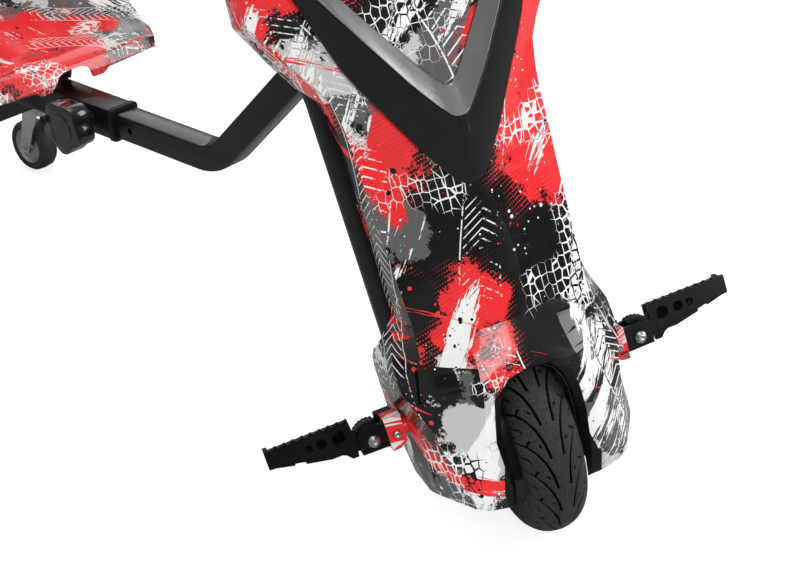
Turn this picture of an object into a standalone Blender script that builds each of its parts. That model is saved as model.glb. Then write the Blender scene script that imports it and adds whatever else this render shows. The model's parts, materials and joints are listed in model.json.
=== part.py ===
"""Electric drift scooter: a steered, driven front wheel behind a moulded fairing,
a telescoping square frame, a bucket seat and two rear casters.

Units are metres, +Z is up and the scooter faces -Y. The front wheel stands turned
to the rider's right, so the steered pieces hang on an empty that is raked back and
then turned. In its own axes x is across, y is rearwards and z runs up the fork.
"""

import math

import bmesh
import bpy
from mathutils import Vector

MM = 0.001
GAP = 0.3 * MM  # between pieces that touch
RUNNING = 0.08 * MM  # radial play of a shaft in its hole

# Stance of the whole scooter
RAKE = math.radians(22.2)
STEER = math.radians(-34.3)  # how far the front wheel stands turned at rest
AXLE_Y = -508 * MM

# Front wheel: a 10 x 2.5 inch tyre on a hub motor
TYRE_RADIUS = 127 * MM
AXLE_Z = TYRE_RADIUS - 2.3 * MM  # the turned wheel leans
ROUND_THE_TYRE = TYRE_RADIUS / (127 * MM)  # the lower fairing is drawn round this tyre
TYRE_WIDTH = 60 * MM
BEAD_RADIUS = 80 * MM
BEAD_HALF = 20 * MM
HUB_HALF = 43 * MM
AXLE_RADIUS = 6 * MM
NUT_HEIGHT = 9 * MM
WHEEL_SEGMENTS = 40

# Fork and head
LEG_X = 93 * MM
LEG_RADIUS = 16 * MM
LEG_WALL = 2.5 * MM
LEG_Y = 6 * MM
LEG_BOTTOM = 34 * MM
CROWN_BOTTOM = 386 * MM
CROWN_TOP = 405 * MM
CUP_HEIGHT = 6 * MM
HEAD_BOTTOM = CROWN_TOP + CUP_HEIGHT + 2 * GAP
HEAD_TOP = 498 * MM
HEAD_RADIUS = 22 * MM
STEERER_RADIUS = 14.3 * MM
STEERER_TOP = HEAD_TOP + 36 * MM

# Frame tube and the sleeve that slides on it, measured from the front axle
TUBE = 32.7 * MM
TUBE_CORNER = 3 * MM
TUBE_WALL = 2 * MM
LOWER_RUN_Z = 193.5 * MM - TUBE / 2
UP_ANGLE = math.radians(47.0)
HEAD_MIDDLE = (HEAD_BOTTOM + HEAD_TOP) / 2
UP_FOOT = Vector((0, 357 * MM, HEAD_MIDDLE - 211.9 * MM))  # a point on the centre line of the rising run
TUBE_BEND = 62 * MM
AXIS_MARGIN = 1.0141 * MM  # the rising run is drawn to just short of the head's axis, and cut back to its wall
TUBE_END_Y = 705 * MM
SLEEVE_CLEARANCE = 0.4 * MM
SLEEVE_WALL = 3 * MM
SLEEVE_CORNER = 4 * MM
SLEEVE = TUBE + 2 * SLEEVE_CLEARANCE + 2 * SLEEVE_WALL
SLEEVE_Y = 592 * MM
SLEEVE_END_Y = 905 * MM
KNOB_Y = 630 * MM
LOCK_HOLE_Y = 559 * MM
LOCK_HOLE_RADIUS = 4.2 * MM
KNOB_RADIUS = 31.5 * MM  # between its lobes and hollows
KNOB_LOBE = 2.6 * MM
KNOB_LOBES = 5
KNOB_DEPTH = 25 * MM
BOSS_LENGTH = 18 * MM

# Rear beam and casters
BEAM_Y = 1072 * MM
BEAM_HALF = 258 * MM
CASTER_X = BEAM_HALF - 26 * MM
CASTER_WHEEL_RADIUS = 42 * MM
CASTER_WHEEL_HALF = 15 * MM
CASTER_TRAIL = 27 * MM
CASTER_PLATE_Z = 106 * MM
BEAM_BOTTOM_Z = 122 * MM

# Folding foot pegs, in the axes of the fork
PEG_BOLT_X = 153 * MM
PEG_BOLT_K = 36.5 * MM
PEG_FRONT = 7.2 * MM  # how far the peg's front face lies ahead of the axle
PEG_DEPTH = 22.8 * MM
PEG_PLATE = 4.5 * MM
PEG_END = 263 * MM
PEG_TOP = 67.7 * MM
TOOTH_PITCH = 9.65 * MM
TOOTH_DEPTH = 2.6 * MM
BRACKET_DEPTH = 24 * MM
CLEVIS_SLOT = 15 * MM
CLEVIS_WEB = 2.8 * MM
KNUCKLE_RADIUS = 21.6 * MM
KNUCKLE_FOOT = 8.5 * MM
KNUCKLE_DEPTH = CLEVIS_SLOT - 0.8 * MM
PEG_BOLT_RADIUS = 4 * MM

# Fairing
SKIN = 3 * MM
TRIM_FACE = 112 * MM  # the flat that carries the V trim, ahead of the steering axis
FLARE_START = 386 * MM  # from here up the flat leans forward
FACE_FLARE = 0.1
FAIRING_TOP = 522 * MM
COVER_INWARD = 1.0
CREASE_ANGLE = 12
STUB_RADIUS = 9 * MM
STUB_ROOM = 0.6 * MM
BACK_COVER_FOOT = 154 * MM
BATTERY_SIZE = Vector((84, 58, 176)) * MM
CONTROLLER_SIZE = Vector((78, 50, 38)) * MM


def clear_scene():
    for item in list(bpy.data.objects):
        bpy.data.objects.remove(item, do_unlink=True)


clear_scene()
SCOOTER = bpy.data.collections.new("drift_scooter")
CUTTERS = bpy.data.collections.new("cutters")
CUTTERS.hide_render = True
bpy.context.scene.collection.children.link(SCOOTER)
bpy.context.scene.collection.children.link(CUTTERS)


def material(name, colour, roughness, metallic=0.0):
    made = bpy.data.materials.new(name)
    made.use_nodes = True
    shader = made.node_tree.nodes["Principled BSDF"]
    shader.inputs["Base Color"].default_value = (*colour, 1.0)
    shader.inputs["Roughness"].default_value = roughness
    shader.inputs["Metallic"].default_value = metallic
    made.diffuse_color = (*colour, 1.0)
    return made


PRINTED = material("printed_plastic", (0.75, 0.06, 0.05), 0.2)
TRIM_BLACK = material("satin_black_plastic", (0.012, 0.012, 0.013), 0.38)
SILVER = material("silver_trim", (0.45, 0.46, 0.48), 0.3, 0.6)
COATED_STEEL = material("black_coated_steel", (0.02, 0.02, 0.02), 0.4, 0.2)
RUBBER = material("tyre_rubber", (0.018, 0.018, 0.019), 0.75)
SOFT_GRIP = material("grip_rubber", (0.02, 0.02, 0.02), 0.85)
ALLOY = material("bare_alloy", (0.6, 0.6, 0.62), 0.35, 1.0)
ZINC = material("zinc_steel", (0.62, 0.63, 0.65), 0.3, 1.0)
PLASTIC = material("black_plastic", (0.025, 0.025, 0.026), 0.5)
CASTER_TREAD = material("caster_tread", (0.03, 0.03, 0.032), 0.5)
SCREEN = material("screen_glass", (0.01, 0.012, 0.015), 0.08)


def empty(name, location=(0, 0, 0), rotation=(0, 0, 0), parent=None):
    made = bpy.data.objects.new(name, None)
    made.empty_display_size = 0.05
    made.location = location
    made.rotation_euler = rotation
    made.parent = parent
    SCOOTER.objects.link(made)
    return made


def place(item, parent, location=(0, 0, 0), rotation=(0, 0, 0), mat=None):
    item.parent = parent
    item.location = location
    item.rotation_euler = rotation
    if mat is not None:
        item.data.materials.clear()
        item.data.materials.append(mat)
    return item


def object_from_bmesh(name, bm, closed=True):
    if closed:
        bmesh.ops.recalc_face_normals(bm, faces=bm.faces)
    data = bpy.data.meshes.new(name)
    bm.to_mesh(data)
    bm.free()
    made = bpy.data.objects.new(name, data)
    SCOOTER.objects.link(made)
    return made


def smooth(item, degrees=35):
    item.data.shade_smooth()
    item.data.set_sharp_from_angle(angle=math.radians(degrees))
    return item


def block(name, size, bevel=0.0, segments=2):
    """A box, with its edges rounded where it has a bevel."""
    bm = bmesh.new()
    bmesh.ops.create_cube(bm, size=1.0)
    bmesh.ops.scale(bm, vec=size, verts=bm.verts)
    made = object_from_bmesh(name, bm)
    if bevel:
        add_bevel(made, bevel, segments)
    return made


def cylinder(name, radius, depth, segments=32, radius_top=None):
    bm = bmesh.new()
    top = radius if radius_top is None else radius_top
    bmesh.ops.create_cone(
        bm, cap_ends=True, segments=segments, radius1=radius, radius2=top, depth=depth
    )
    return smooth(object_from_bmesh(name, bm))


def add_bevel(item, width, segments=2, degrees=40):
    edge = item.modifiers.new("rounded_edges", "BEVEL")
    edge.width = width
    edge.segments = segments
    edge.limit_method = "ANGLE"
    edge.angle_limit = math.radians(degrees)
    edge.use_clamp_overlap = True
    return smooth(item)


def turned(name, profile, segments=32):
    """A body turned about z: the profile is (radius, z) and runs down its outer side."""
    bm = bmesh.new()
    verts = [bm.verts.new((radius, 0, z)) for radius, z in profile]
    closed = all(radius > 1e-6 for radius, _ in profile)
    pairs = list(zip(verts, verts[1:]))
    if closed:
        pairs.append((verts[-1], verts[0]))
    for pair in pairs:
        bm.edges.new(pair)
    data = bpy.data.meshes.new(name)
    bm.to_mesh(data)
    bm.free()
    made = bpy.data.objects.new(name, data)
    SCOOTER.objects.link(made)
    screw = made.modifiers.new("turn", "SCREW")
    screw.steps = segments
    screw.render_steps = segments
    screw.use_merge_vertices = True
    screw.merge_threshold = 1e-5
    screw.use_smooth_shade = True
    return made


def ring(name, outer, inner, height, segments=32):
    half = height / 2
    return turned(name, [(outer, half), (outer, -half), (inner, -half), (inner, half)], segments)


def mesh_from_curve(item):
    """The curve's mesh as an object of its own, with its caps welded to its sides."""
    bpy.context.view_layer.update()
    graph = bpy.context.evaluated_depsgraph_get()
    data = bpy.data.meshes.new_from_object(item.evaluated_get(graph))
    bm = bmesh.new()
    bm.from_mesh(data)
    bmesh.ops.remove_doubles(bm, verts=bm.verts, dist=1e-6)
    bmesh.ops.recalc_face_normals(bm, faces=bm.faces)
    bm.to_mesh(data)
    bm.free()
    name = item.name
    matrix = item.matrix_world.copy()
    bpy.data.objects.remove(item, do_unlink=True)
    made = bpy.data.objects.new(name, data)
    made.matrix_world = matrix
    SCOOTER.objects.link(made)
    return smooth(made)


def rod(name, points, radius, resolution=3):
    """A round bar that follows the points."""
    curve = bpy.data.curves.new(name, "CURVE")
    curve.dimensions = "3D"
    curve.bevel_depth = radius
    curve.bevel_resolution = resolution
    curve.use_fill_caps = True
    spline = curve.splines.new("POLY")
    spline.points.add(len(points) - 1)
    for point, place_at in zip(spline.points, points):
        point.co = (*place_at, 1.0)
    made = bpy.data.objects.new(name, curve)
    SCOOTER.objects.link(made)
    return mesh_from_curve(made)


def plate(name, outlines, thickness):
    """A flat plate in x and y. The first outline is its edge and the others are holes."""
    curve = bpy.data.curves.new(name, "CURVE")
    curve.dimensions = "2D"
    curve.fill_mode = "BOTH"
    curve.extrude = thickness / 2
    for outline in outlines:
        spline = curve.splines.new("POLY")
        spline.points.add(len(outline) - 1)
        spline.use_cyclic_u = True
        for point, (x, y) in zip(spline.points, outline):
            point.co = (x, y, 0.0, 1.0)
    made = bpy.data.objects.new(name, curve)
    SCOOTER.objects.link(made)
    return mesh_from_curve(made)


def arc(centre, radius, start, end, steps):
    """Points on a circle from one angle to another, in degrees."""
    points = []
    for step in range(steps + 1):
        angle = math.radians(start + (end - start) * step / steps)
        points.append((centre[0] + radius * math.cos(angle), centre[1] + radius * math.sin(angle)))
    return points


def circle(centre, radius, steps=20):
    return arc(centre, radius, 0, 360, steps)[:-1]


def rounded_rectangle(width, height, radius, steps=3):
    x, y = width / 2 - radius, height / 2 - radius
    outline = []
    for centre, start in (((x, y), 0), ((-x, y), 90), ((-x, -y), 180), ((x, -y), 270)):
        outline += arc(centre, radius, start, start + 90, steps)
    return outline


def bend(points, radius, steps=6):
    """The path through the points with each inner corner turned at the radius."""
    path = [points[0]]
    for before, corner, after in zip(points, points[1:], points[2:]):
        back = (before - corner).normalized()
        ahead = (after - corner).normalized()
        half = back.angle(ahead) / 2
        reach = radius / math.tan(half)
        start = corner + back * reach
        middle = corner + (back + ahead).normalized() * radius / math.sin(half)
        for step in range(steps + 1):
            turn = (start - middle).slerp(corner + ahead * reach - middle, step / steps)
            path.append(middle + turn * radius)
    path.append(points[-1])
    return path


def square_tube(name, path, width, corner):
    """A square tube along a path that stays in the plane of y and z."""
    section = rounded_rectangle(width, width, corner, 2)
    bm = bmesh.new()
    rings = []
    for index, point in enumerate(path):
        before = path[max(index - 1, 0)]
        after = path[min(index + 1, len(path) - 1)]
        along = (after - before).normalized()
        across = Vector((1, 0, 0))
        normal = across.cross(along)
        stretch = 1.0
        if 0 < index < len(path) - 1:
            turn = (point - before).angle(after - point)
            stretch = 1 / math.cos(turn / 2)
        rings.append([
            bm.verts.new(point + across * x + normal * y * stretch) for x, y in section
        ])
    count = len(section)
    for one, two in zip(rings, rings[1:]):
        for index in range(count):
            following = (index + 1) % count
            bm.faces.new((one[index], one[following], two[following], two[index]))
    bm.faces.new(rings[0][::-1])
    bm.faces.new(rings[-1])
    return smooth(object_from_bmesh(name, bm))


def loft(name, sections, closed=False):
    """An open surface, or a closed body, through sections of equal point counts."""
    bm = bmesh.new()
    rings = [[bm.verts.new(point) for point in section] for section in sections]
    count = len(rings[0])
    for one, two in zip(rings, rings[1:]):
        for index in range(count if closed else count - 1):
            following = (index + 1) % count
            bm.faces.new((one[index], one[following], two[following], two[index]))
    if closed:
        bm.faces.new(rings[0][::-1])
        bm.faces.new(rings[-1])
    return object_from_bmesh(name, bm, closed)


def mirror(item):
    other_half = item.modifiers.new("other_half", "MIRROR")
    other_half.use_axis = (True, False, False)
    other_half.merge_threshold = 1e-5
    other_half.use_clip = True


def thicken(item, thickness, offset=-1.0):
    shell = item.modifiers.new("wall", "SOLIDIFY")
    shell.thickness = thickness
    shell.offset = offset
    shell.use_even_offset = True
    shell.use_quality_normals = True


def as_tool(item):
    """Keeps a shape out of the model: it only cuts or joins another."""
    SCOOTER.objects.unlink(item)
    CUTTERS.objects.link(item)
    item.hide_render = True
    item.display_type = "WIRE"


def combine(target, other, operation):
    step = target.modifiers.new(operation.lower() + "_" + other.name, "BOOLEAN")
    step.operation = operation
    step.solver = "EXACT"
    step.object = other
    as_tool(other)
    return target


def cut(target, other):
    return combine(target, other, "DIFFERENCE")


def join(target, other):
    return combine(target, other, "UNION")


ACROSS = (0, math.radians(90), 0)  # turns a z axis to lie along x
FORWARD = (math.radians(90), 0, 0)  # stands a flat outline up, its y along z
SIDEWAYS = (math.radians(90), 0, math.radians(90))  # the same, with its x along y

ROOT = empty("scooter_origin", (0, AXLE_Y, AXLE_Z))
HEAD = empty("head_angle", rotation=(-RAKE, 0, 0), parent=ROOT)
STEERING = empty("steering_pivot", rotation=(0, 0, STEER), parent=HEAD)
REAR = empty("sliding_rear", (0, SLEEVE_Y, LOWER_RUN_Z), parent=ROOT)


def in_rear(x, y, z_above_floor):
    """A place given from the axle and the floor, in the axes of the sliding rear."""
    return (x, y - SLEEVE_Y, z_above_floor - AXLE_Z - LOWER_RUN_Z)


def tyre_profile():
    """The outer half of the tyre: crown, shoulder, sidewall and bead, then mirrored."""
    half = TYRE_WIDTH / 2
    side = [
        (TYRE_RADIUS, 0),
        (TYRE_RADIUS - 1.0 * MM, 0.25 * half),
        (TYRE_RADIUS - 4.2 * MM, 0.52 * half),
        (TYRE_RADIUS - 10.5 * MM, 0.77 * half),
        (TYRE_RADIUS - 18.5 * MM, 0.95 * half),
        (TYRE_RADIUS - 27 * MM, half),
        (TYRE_RADIUS - 36 * MM, 0.93 * half),
        (BEAD_RADIUS + 1.5 * MM, BEAD_HALF),
        (BEAD_RADIUS, 0.55 * BEAD_HALF),
    ]
    lower = [(radius, -z) for radius, z in side[1:]]
    return side[::-1] + lower


def build_front_wheel():
    tyre = turned("front_tyre", tyre_profile(), WHEEL_SEGMENTS)
    place(tyre, STEERING, rotation=ACROSS, mat=RUBBER)
    seat = BEAD_RADIUS - GAP
    lip = seat + 4 * MM
    outer = [
        (56 * MM, HUB_HALF),
        (62 * MM, HUB_HALF - 6 * MM),
        (64 * MM, 20 * MM),
        (75 * MM, BEAD_HALF + 2 * MM),
        (lip, BEAD_HALF + 5.4 * MM),
        (lip, BEAD_HALF + 3 * MM),
        (seat, BEAD_HALF + 0.6 * MM),
    ]
    bore = AXLE_RADIUS + RUNNING
    hub = turned(
        "hub_motor",
        outer + [(radius, -z) for radius, z in outer[::-1]] + [(bore, -HUB_HALF), (bore, HUB_HALF)],
        WHEEL_SEGMENTS,
    )
    place(hub, STEERING, rotation=ACROSS, mat=ALLOY)
    axle = cylinder("front_axle", AXLE_RADIUS, 2 * (LEG_X + 14 * MM), WHEEL_SEGMENTS)
    place(axle, STEERING, rotation=ACROSS, mat=ZINC)


def build_fork():
    drop_thickness = 8 * MM
    for side, sign in (("right", -1), ("left", 1)):
        length = CROWN_BOTTOM - GAP - LEG_BOTTOM
        leg = ring("fork_leg_" + side, LEG_RADIUS, LEG_RADIUS - LEG_WALL, length, 24)
        place(leg, STEERING, (sign * LEG_X, LEG_Y, LEG_BOTTOM + length / 2), mat=COATED_STEEL)
        outline = arc((0, 0), 17 * MM, 180, 360, 8) + [(13 * MM, 62 * MM), (-25 * MM, 62 * MM)]
        slot = circle((0, 0), AXLE_RADIUS + 0.15 * MM)
        dropout = plate("dropout_" + side, [outline, slot], drop_thickness)
        place(dropout, STEERING, (sign * LEG_X, 0, 0), SIDEWAYS)
        join(leg, dropout)
        nut = plate(
            "axle_nut_" + side,
            [circle((0, 0), 10.5 * MM, 6), circle((0, 0), AXLE_RADIUS + 0.1 * MM, 24)],
            NUT_HEIGHT,
        )
        away = LEG_X + drop_thickness / 2 + GAP + NUT_HEIGHT / 2
        place(nut, STEERING, (sign * away, 0, 0), ACROSS, ZINC)
    height = CROWN_TOP - CROWN_BOTTOM
    outline = (
        arc((LEG_X, LEG_Y), LEG_RADIUS + 0.5 * MM, -90, 90, 8)
        + arc((0, 0), 29 * MM, 60, 120, 4)
        + arc((-LEG_X, LEG_Y), LEG_RADIUS + 0.5 * MM, 90, 270, 8)
        + arc((0, 0), 29 * MM, 240, 300, 4)
    )
    crown = plate("fork_crown", [outline], height)
    place(crown, STEERING, (0, 0, CROWN_BOTTOM + height / 2), mat=COATED_STEEL)
    steerer_length = STEERER_TOP - CROWN_TOP - GAP
    steerer = cylinder("steerer", STEERER_RADIUS, steerer_length, 32)
    place(steerer, STEERING, (0, 0, STEERER_TOP - steerer_length / 2), mat=ZINC)
    nut = ring("headset_nut", 21 * MM, STEERER_RADIUS + RUNNING, 5 * MM, 32)
    place(nut, STEERING, (0, 0, HEAD_TOP + CUP_HEIGHT + 2 * GAP + 2.5 * MM), mat=ZINC)


def rising(distance):
    """A point on the rising run, up from its foot towards the head."""
    return UP_FOOT + Vector((0, -math.cos(UP_ANGLE), math.sin(UP_ANGLE))) * distance


def build_frame():
    down = (UP_FOOT.z - LOWER_RUN_Z) / math.sin(UP_ANGLE)
    corner = rising(-down)
    behind_head = UP_FOOT.y * math.cos(RAKE) - UP_FOOT.z * math.sin(RAKE)
    at_head = rising(behind_head / math.cos(UP_ANGLE - RAKE) - AXIS_MARGIN)
    path = bend(
        [at_head, corner, Vector((0, TUBE_END_Y, LOWER_RUN_Z))],
        TUBE_BEND,
        8,
    )
    tube = square_tube("frame_tube", path, TUBE, TUBE_CORNER)
    place(tube, ROOT, mat=COATED_STEEL)
    room = cylinder("head_room", HEAD_RADIUS + GAP, 2 * (HEAD_TOP - HEAD_BOTTOM), 32)
    place(room, HEAD, (0, 0, (HEAD_BOTTOM + HEAD_TOP) / 2))
    cut(tube, room)
    bore_path = [path[0] + (path[0] - path[1]) * 0.1] + path[1:-1] + [path[-1] + Vector((0, 2 * MM, 0))]
    bore = square_tube("tube_bore", bore_path, TUBE - 2 * TUBE_WALL, TUBE_CORNER / 2)
    place(bore, ROOT)
    cut(tube, bore)
    for number, y in enumerate((LOCK_HOLE_Y, KNOB_Y)):
        hole = cylinder("lock_hole_%d" % (number + 1), LOCK_HOLE_RADIUS, TUBE + 6 * MM, 16)
        place(hole, ROOT, (0, y, LOWER_RUN_Z), ACROSS)
        cut(tube, hole)
    head = ring("head_tube", HEAD_RADIUS, 17 * MM, HEAD_TOP - HEAD_BOTTOM, 32)
    place(head, HEAD, (0, 0, (HEAD_BOTTOM + HEAD_TOP) / 2), mat=COATED_STEEL)
    for name, base in (("bearing_cup_lower", CROWN_TOP + GAP), ("bearing_cup_upper", HEAD_TOP + GAP)):
        cup = ring(name, 25 * MM, STEERER_RADIUS + RUNNING, CUP_HEIGHT, 32)
        place(cup, HEAD, (0, 0, base + CUP_HEIGHT / 2), mat=ZINC)


def build_sliding_rear():
    length = SLEEVE_END_Y - SLEEVE_Y
    inner = SLEEVE - 2 * SLEEVE_WALL
    bore = rounded_rectangle(inner, inner, TUBE_CORNER, 2)
    sleeve = plate("seat_sleeve", [rounded_rectangle(SLEEVE, SLEEVE, SLEEVE_CORNER, 2), bore], length)
    place(sleeve, REAR, (0, length / 2, 0), FORWARD, COATED_STEEL)
    bolt_room = cylinder("bolt_room", LOCK_HOLE_RADIUS, 30 * MM, 16)
    place(bolt_room, REAR, (-SLEEVE / 2, KNOB_Y - SLEEVE_Y, 0), ACROSS)
    cut(sleeve, bolt_room)
    outer = SLEEVE + 3 * MM
    collar = plate("sleeve_collar", [rounded_rectangle(outer, outer, 5 * MM, 2), bore], 7 * MM)
    place(collar, REAR, (0, -3.5 * MM - GAP, 0), FORWARD, PLASTIC)
    boss = ring("knob_boss", 10.5 * MM, LOCK_HOLE_RADIUS, BOSS_LENGTH, 24)
    boss_x = -SLEEVE / 2 - GAP - BOSS_LENGTH / 2
    place(boss, REAR, (boss_x, KNOB_Y - SLEEVE_Y, 0), ACROSS, COATED_STEEL)

    top = in_rear(0, SLEEVE_END_Y + GAP, AXLE_Z + LOWER_RUN_Z)
    knee = in_rear(0, BEAM_Y, AXLE_Z + LOWER_RUN_Z)
    foot = in_rear(0, BEAM_Y, BEAM_BOTTOM_Z + SLEEVE + GAP)
    path = bend([Vector(top), Vector(knee), Vector(foot)], 60 * MM, 8)
    arm = square_tube("rear_arm", path, SLEEVE, SLEEVE_CORNER)
    place(arm, REAR, mat=COATED_STEEL)
    bore_path = [path[0] - Vector((0, 2 * MM, 0))] + path[1:-1] + [path[-1] - Vector((0, 0, 2 * MM))]
    bore = square_tube("rear_arm_bore", bore_path, SLEEVE - 2 * SLEEVE_WALL, SLEEVE_CORNER / 2)
    place(bore, REAR)
    cut(arm, bore)
    middle = in_rear(0, BEAM_Y, BEAM_BOTTOM_Z + SLEEVE / 2)
    beam = plate("rear_beam", [rounded_rectangle(SLEEVE, SLEEVE, SLEEVE_CORNER, 2)], 2 * BEAM_HALF)
    place(beam, REAR, middle, SIDEWAYS, COATED_STEEL)
    inside = SLEEVE - 2 * SLEEVE_WALL
    hollow = block("beam_hollow", (2 * (BEAM_HALF - SLEEVE_WALL), inside, inside))
    place(hollow, REAR, middle)
    cut(beam, hollow)
    vent = cylinder("beam_vent", 4 * MM, SLEEVE, 12)
    place(vent, REAR, (middle[0] + 60 * MM, middle[1], middle[2] - SLEEVE / 2))
    cut(beam, vent)

    sheet = 3 * MM
    base_half = 22 * MM
    for name, y in zip(("seat_bracket_front", "seat_bracket_rear"), BRACKET_Y):
        rise = min(seat_underside(y - BRACKET_WIDTH / 2), seat_underside(y + BRACKET_WIDTH / 2)) - 2 * GAP
        reach = base_half + 26 * MM
        outline = [
            (-base_half, 0), (base_half, 0), (base_half + 7 * MM, rise - sheet), (reach, rise - sheet),
            (reach, rise), (base_half + 5 * MM, rise), (base_half - sheet, sheet),
            (-base_half + sheet, sheet), (-base_half - 5 * MM, rise), (-reach, rise),
            (-reach, rise - sheet), (-base_half - 7 * MM, rise - sheet),
        ]
        bracket = plate(name, [outline], BRACKET_WIDTH)
        place(bracket, REAR, (0, y - SLEEVE_Y, SLEEVE / 2 + GAP), FORWARD, COATED_STEEL)


# The seat's underside from the foot of its front skirt to the top of its back:
# place behind the axle, height over the sleeve, half width and rise of the side wall
SEAT_LINE = (
    (680, 7, 130, 0),
    (676, 17, 134, 0),
    (680, 27, 140, -4),
    (692, 32, 148, -9),
    (712, 33, 159, -7),
    (740, 32, 169, 2),
    (775, 33, 178, 24),
    (815, 38, 184, 50),
    (868, 53, 190, 76),
    (908, 88, 190, 80),
    (930, 137, 184, 66),
    (946, 190, 172, 48),
    (960, 244, 150, 28),
    (966, 272, 118, 14),
)
SEAT_SECTION = ((0, 0), (0.3, 0.0), (0.58, 0.02), (0.8, 0.13), (0.92, 0.4), (0.98, 0.75), (1.0, 1.0))
SEAT_SKIN = 4 * MM
# What is cut away under the front lip: the arch over the sleeve, then past a foot the
# lip rises to its corner, as half width and height over the sleeve
LIP_CUT = (
    (0, 26.3), (14, 25.8), (20, 24), (26, 20), (33, 6), (33, 3), (50, 3), (50, 6),
    (57, 12.8), (100, 15.3), (122, 17), (150, 17), (150, -12),
)
BRACKET_Y = (725 * MM, 812 * MM)
BRACKET_WIDTH = 34 * MM


def seat_underside(y):
    """Height of the seat's underside over the sleeve at a place behind the axle."""
    for (near, low, _, _), (far, high, _, _) in zip(SEAT_LINE[3:], SEAT_LINE[4:]):
        if near * MM <= y <= far * MM:
            return (low + (high - low) * (y / MM - near) / (far - near)) * MM
    return SEAT_LINE[3][1] * MM


def build_seat():
    """A bucket shell: the section widens, and its walls rise, along the centre line."""
    line = [Vector((0, y * MM - SLEEVE_Y, z * MM + SLEEVE / 2)) for y, z, _, _ in SEAT_LINE]
    sections = []
    for index, (_, _, half, wall) in enumerate(SEAT_LINE):
        before = line[max(index - 1, 0)]
        after = line[min(index + 1, len(line) - 1)]
        along = (after - before).normalized()
        normal = Vector((1, 0, 0)).cross(along)
        sections.append([
            line[index] + Vector((across * half * MM, 0, 0)) + normal * rise * wall * MM
            for across, rise in SEAT_SECTION
        ])
    seat = loft("seat_shell", sections)
    mirror(seat)
    thicken(seat, SEAT_SKIN, 1.0)
    place(smooth(seat, 60), REAR, mat=PRINTED)
    half = [(x * MM, height * MM) for x, height in LIP_CUT]
    outline = half + [(-x, height) for x, height in half[:0:-1]]
    under_lip = plate("under_lip", [outline], 60 * MM)
    place(under_lip, REAR, (0, SEAT_LINE[0][0] * MM - SLEEVE_Y - 20 * MM, SLEEVE / 2), FORWARD)
    cut(seat, under_lip)


def build_knob():
    """A lobed clamp knob on a screw that presses on the inner tube."""
    outline = []
    steps = 8 * KNOB_LOBES
    for step in range(steps):
        angle = math.tau * step / steps
        reach = KNOB_RADIUS + KNOB_LOBE * math.cos(KNOB_LOBES * angle)
        outline.append((reach * math.cos(angle), reach * math.sin(angle)))
    knob_pivot = empty("knob_pivot", (-SLEEVE / 2, KNOB_Y - SLEEVE_Y, 0), parent=REAR)
    knob = plate("clamp_knob", [outline], KNOB_DEPTH)
    place(knob, knob_pivot, (-BOSS_LENGTH - 2 * GAP - KNOB_DEPTH / 2, 0, 0), ACROSS, PLASTIC)
    add_bevel(knob, 5 * MM, 2, 50)
    tip = SLEEVE / 2 - TUBE / 2 - GAP
    head = -BOSS_LENGTH - GAP
    screw = cylinder("knob_screw", 3.9 * MM, tip - head, 16)
    place(screw, knob_pivot, ((tip + head) / 2, 0, 0), ACROSS, ZINC)


def build_casters():
    for side, sign in (("right", -1), ("left", 1)):
        at = in_rear(sign * CASTER_X, BEAM_Y, 0)
        pivot = empty("caster_pivot_" + side, at, parent=REAR)
        housing_height = BEAM_BOTTOM_Z - CASTER_PLATE_Z - 8 * MM - 2 * GAP
        housing = ring("caster_housing_" + side, 22 * MM, 6 * MM + RUNNING, housing_height, 32)
        place(
            housing, REAR,
            (at[0], at[1], at[2] + BEAM_BOTTOM_Z - GAP - housing_height / 2),
            mat=ZINC,
        )
        fork = cylinder("caster_fork_" + side, 22 * MM, 8 * MM, 24)
        place(fork, pivot, (0, 0, CASTER_PLATE_Z + 4 * MM), mat=ZINC)
        pin = cylinder("caster_pin_" + side, 6 * MM, 13 * MM, 32)
        place(pin, pivot, (0, 0, CASTER_PLATE_Z + 7.5 * MM))
        join(fork, pin)
        cheek_outline = arc((CASTER_TRAIL, CASTER_WHEEL_RADIUS), 11 * MM, -135, 45, 8) + [
            (19 * MM, CASTER_PLATE_Z + 6 * MM), (-15 * MM, CASTER_PLATE_Z + 6 * MM),
        ]
        for cheek_side in (-1, 1):
            cheek = plate("cheek_%s_%d" % (side, cheek_side), [cheek_outline], 3 * MM)
            place(cheek, pivot, (cheek_side * (CASTER_WHEEL_HALF + 3 * MM), 0, 0), SIDEWAYS)
            join(fork, cheek)
        axle = cylinder("caster_axle_" + side, 4 * MM, 2 * (CASTER_WHEEL_HALF + 8 * MM), 20)
        place(axle, pivot, (0, CASTER_TRAIL, CASTER_WHEEL_RADIUS), ACROSS)
        join(fork, axle)
        wheel_at = (0, CASTER_TRAIL, CASTER_WHEEL_RADIUS)
        wheel_pivot = empty("caster_wheel_pivot_" + side, wheel_at, parent=pivot)
        half = CASTER_WHEEL_HALF
        reach = CASTER_WHEEL_RADIUS
        rim = reach - 13 * MM
        hub = turned(
            "caster_hub_" + side,
            [(10 * MM, half), (11 * MM, half - 3 * MM), (rim - 4 * MM, half - 5 * MM),
             (rim - GAP, half - 1 * MM),
             (rim - GAP, -half + 1 * MM), (rim - 4 * MM, -half + 5 * MM), (11 * MM, -half + 3 * MM),
             (10 * MM, -half),
             (4 * MM + RUNNING, -half), (4 * MM + RUNNING, half)],
            20,
        )
        place(hub, wheel_pivot, rotation=ACROSS, mat=ALLOY)
        tread = turned(
            "caster_tread_" + side,
            [(rim, half - 1 * MM), (reach - 4 * MM, half), (reach - 1 * MM, half - 4 * MM), (reach, 0),
             (reach - 1 * MM, -half + 4 * MM), (reach - 4 * MM, -half), (rim, -half + 1 * MM)],
            28,
        )
        place(tread, wheel_pivot, rotation=ACROSS, mat=CASTER_TREAD)


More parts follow.
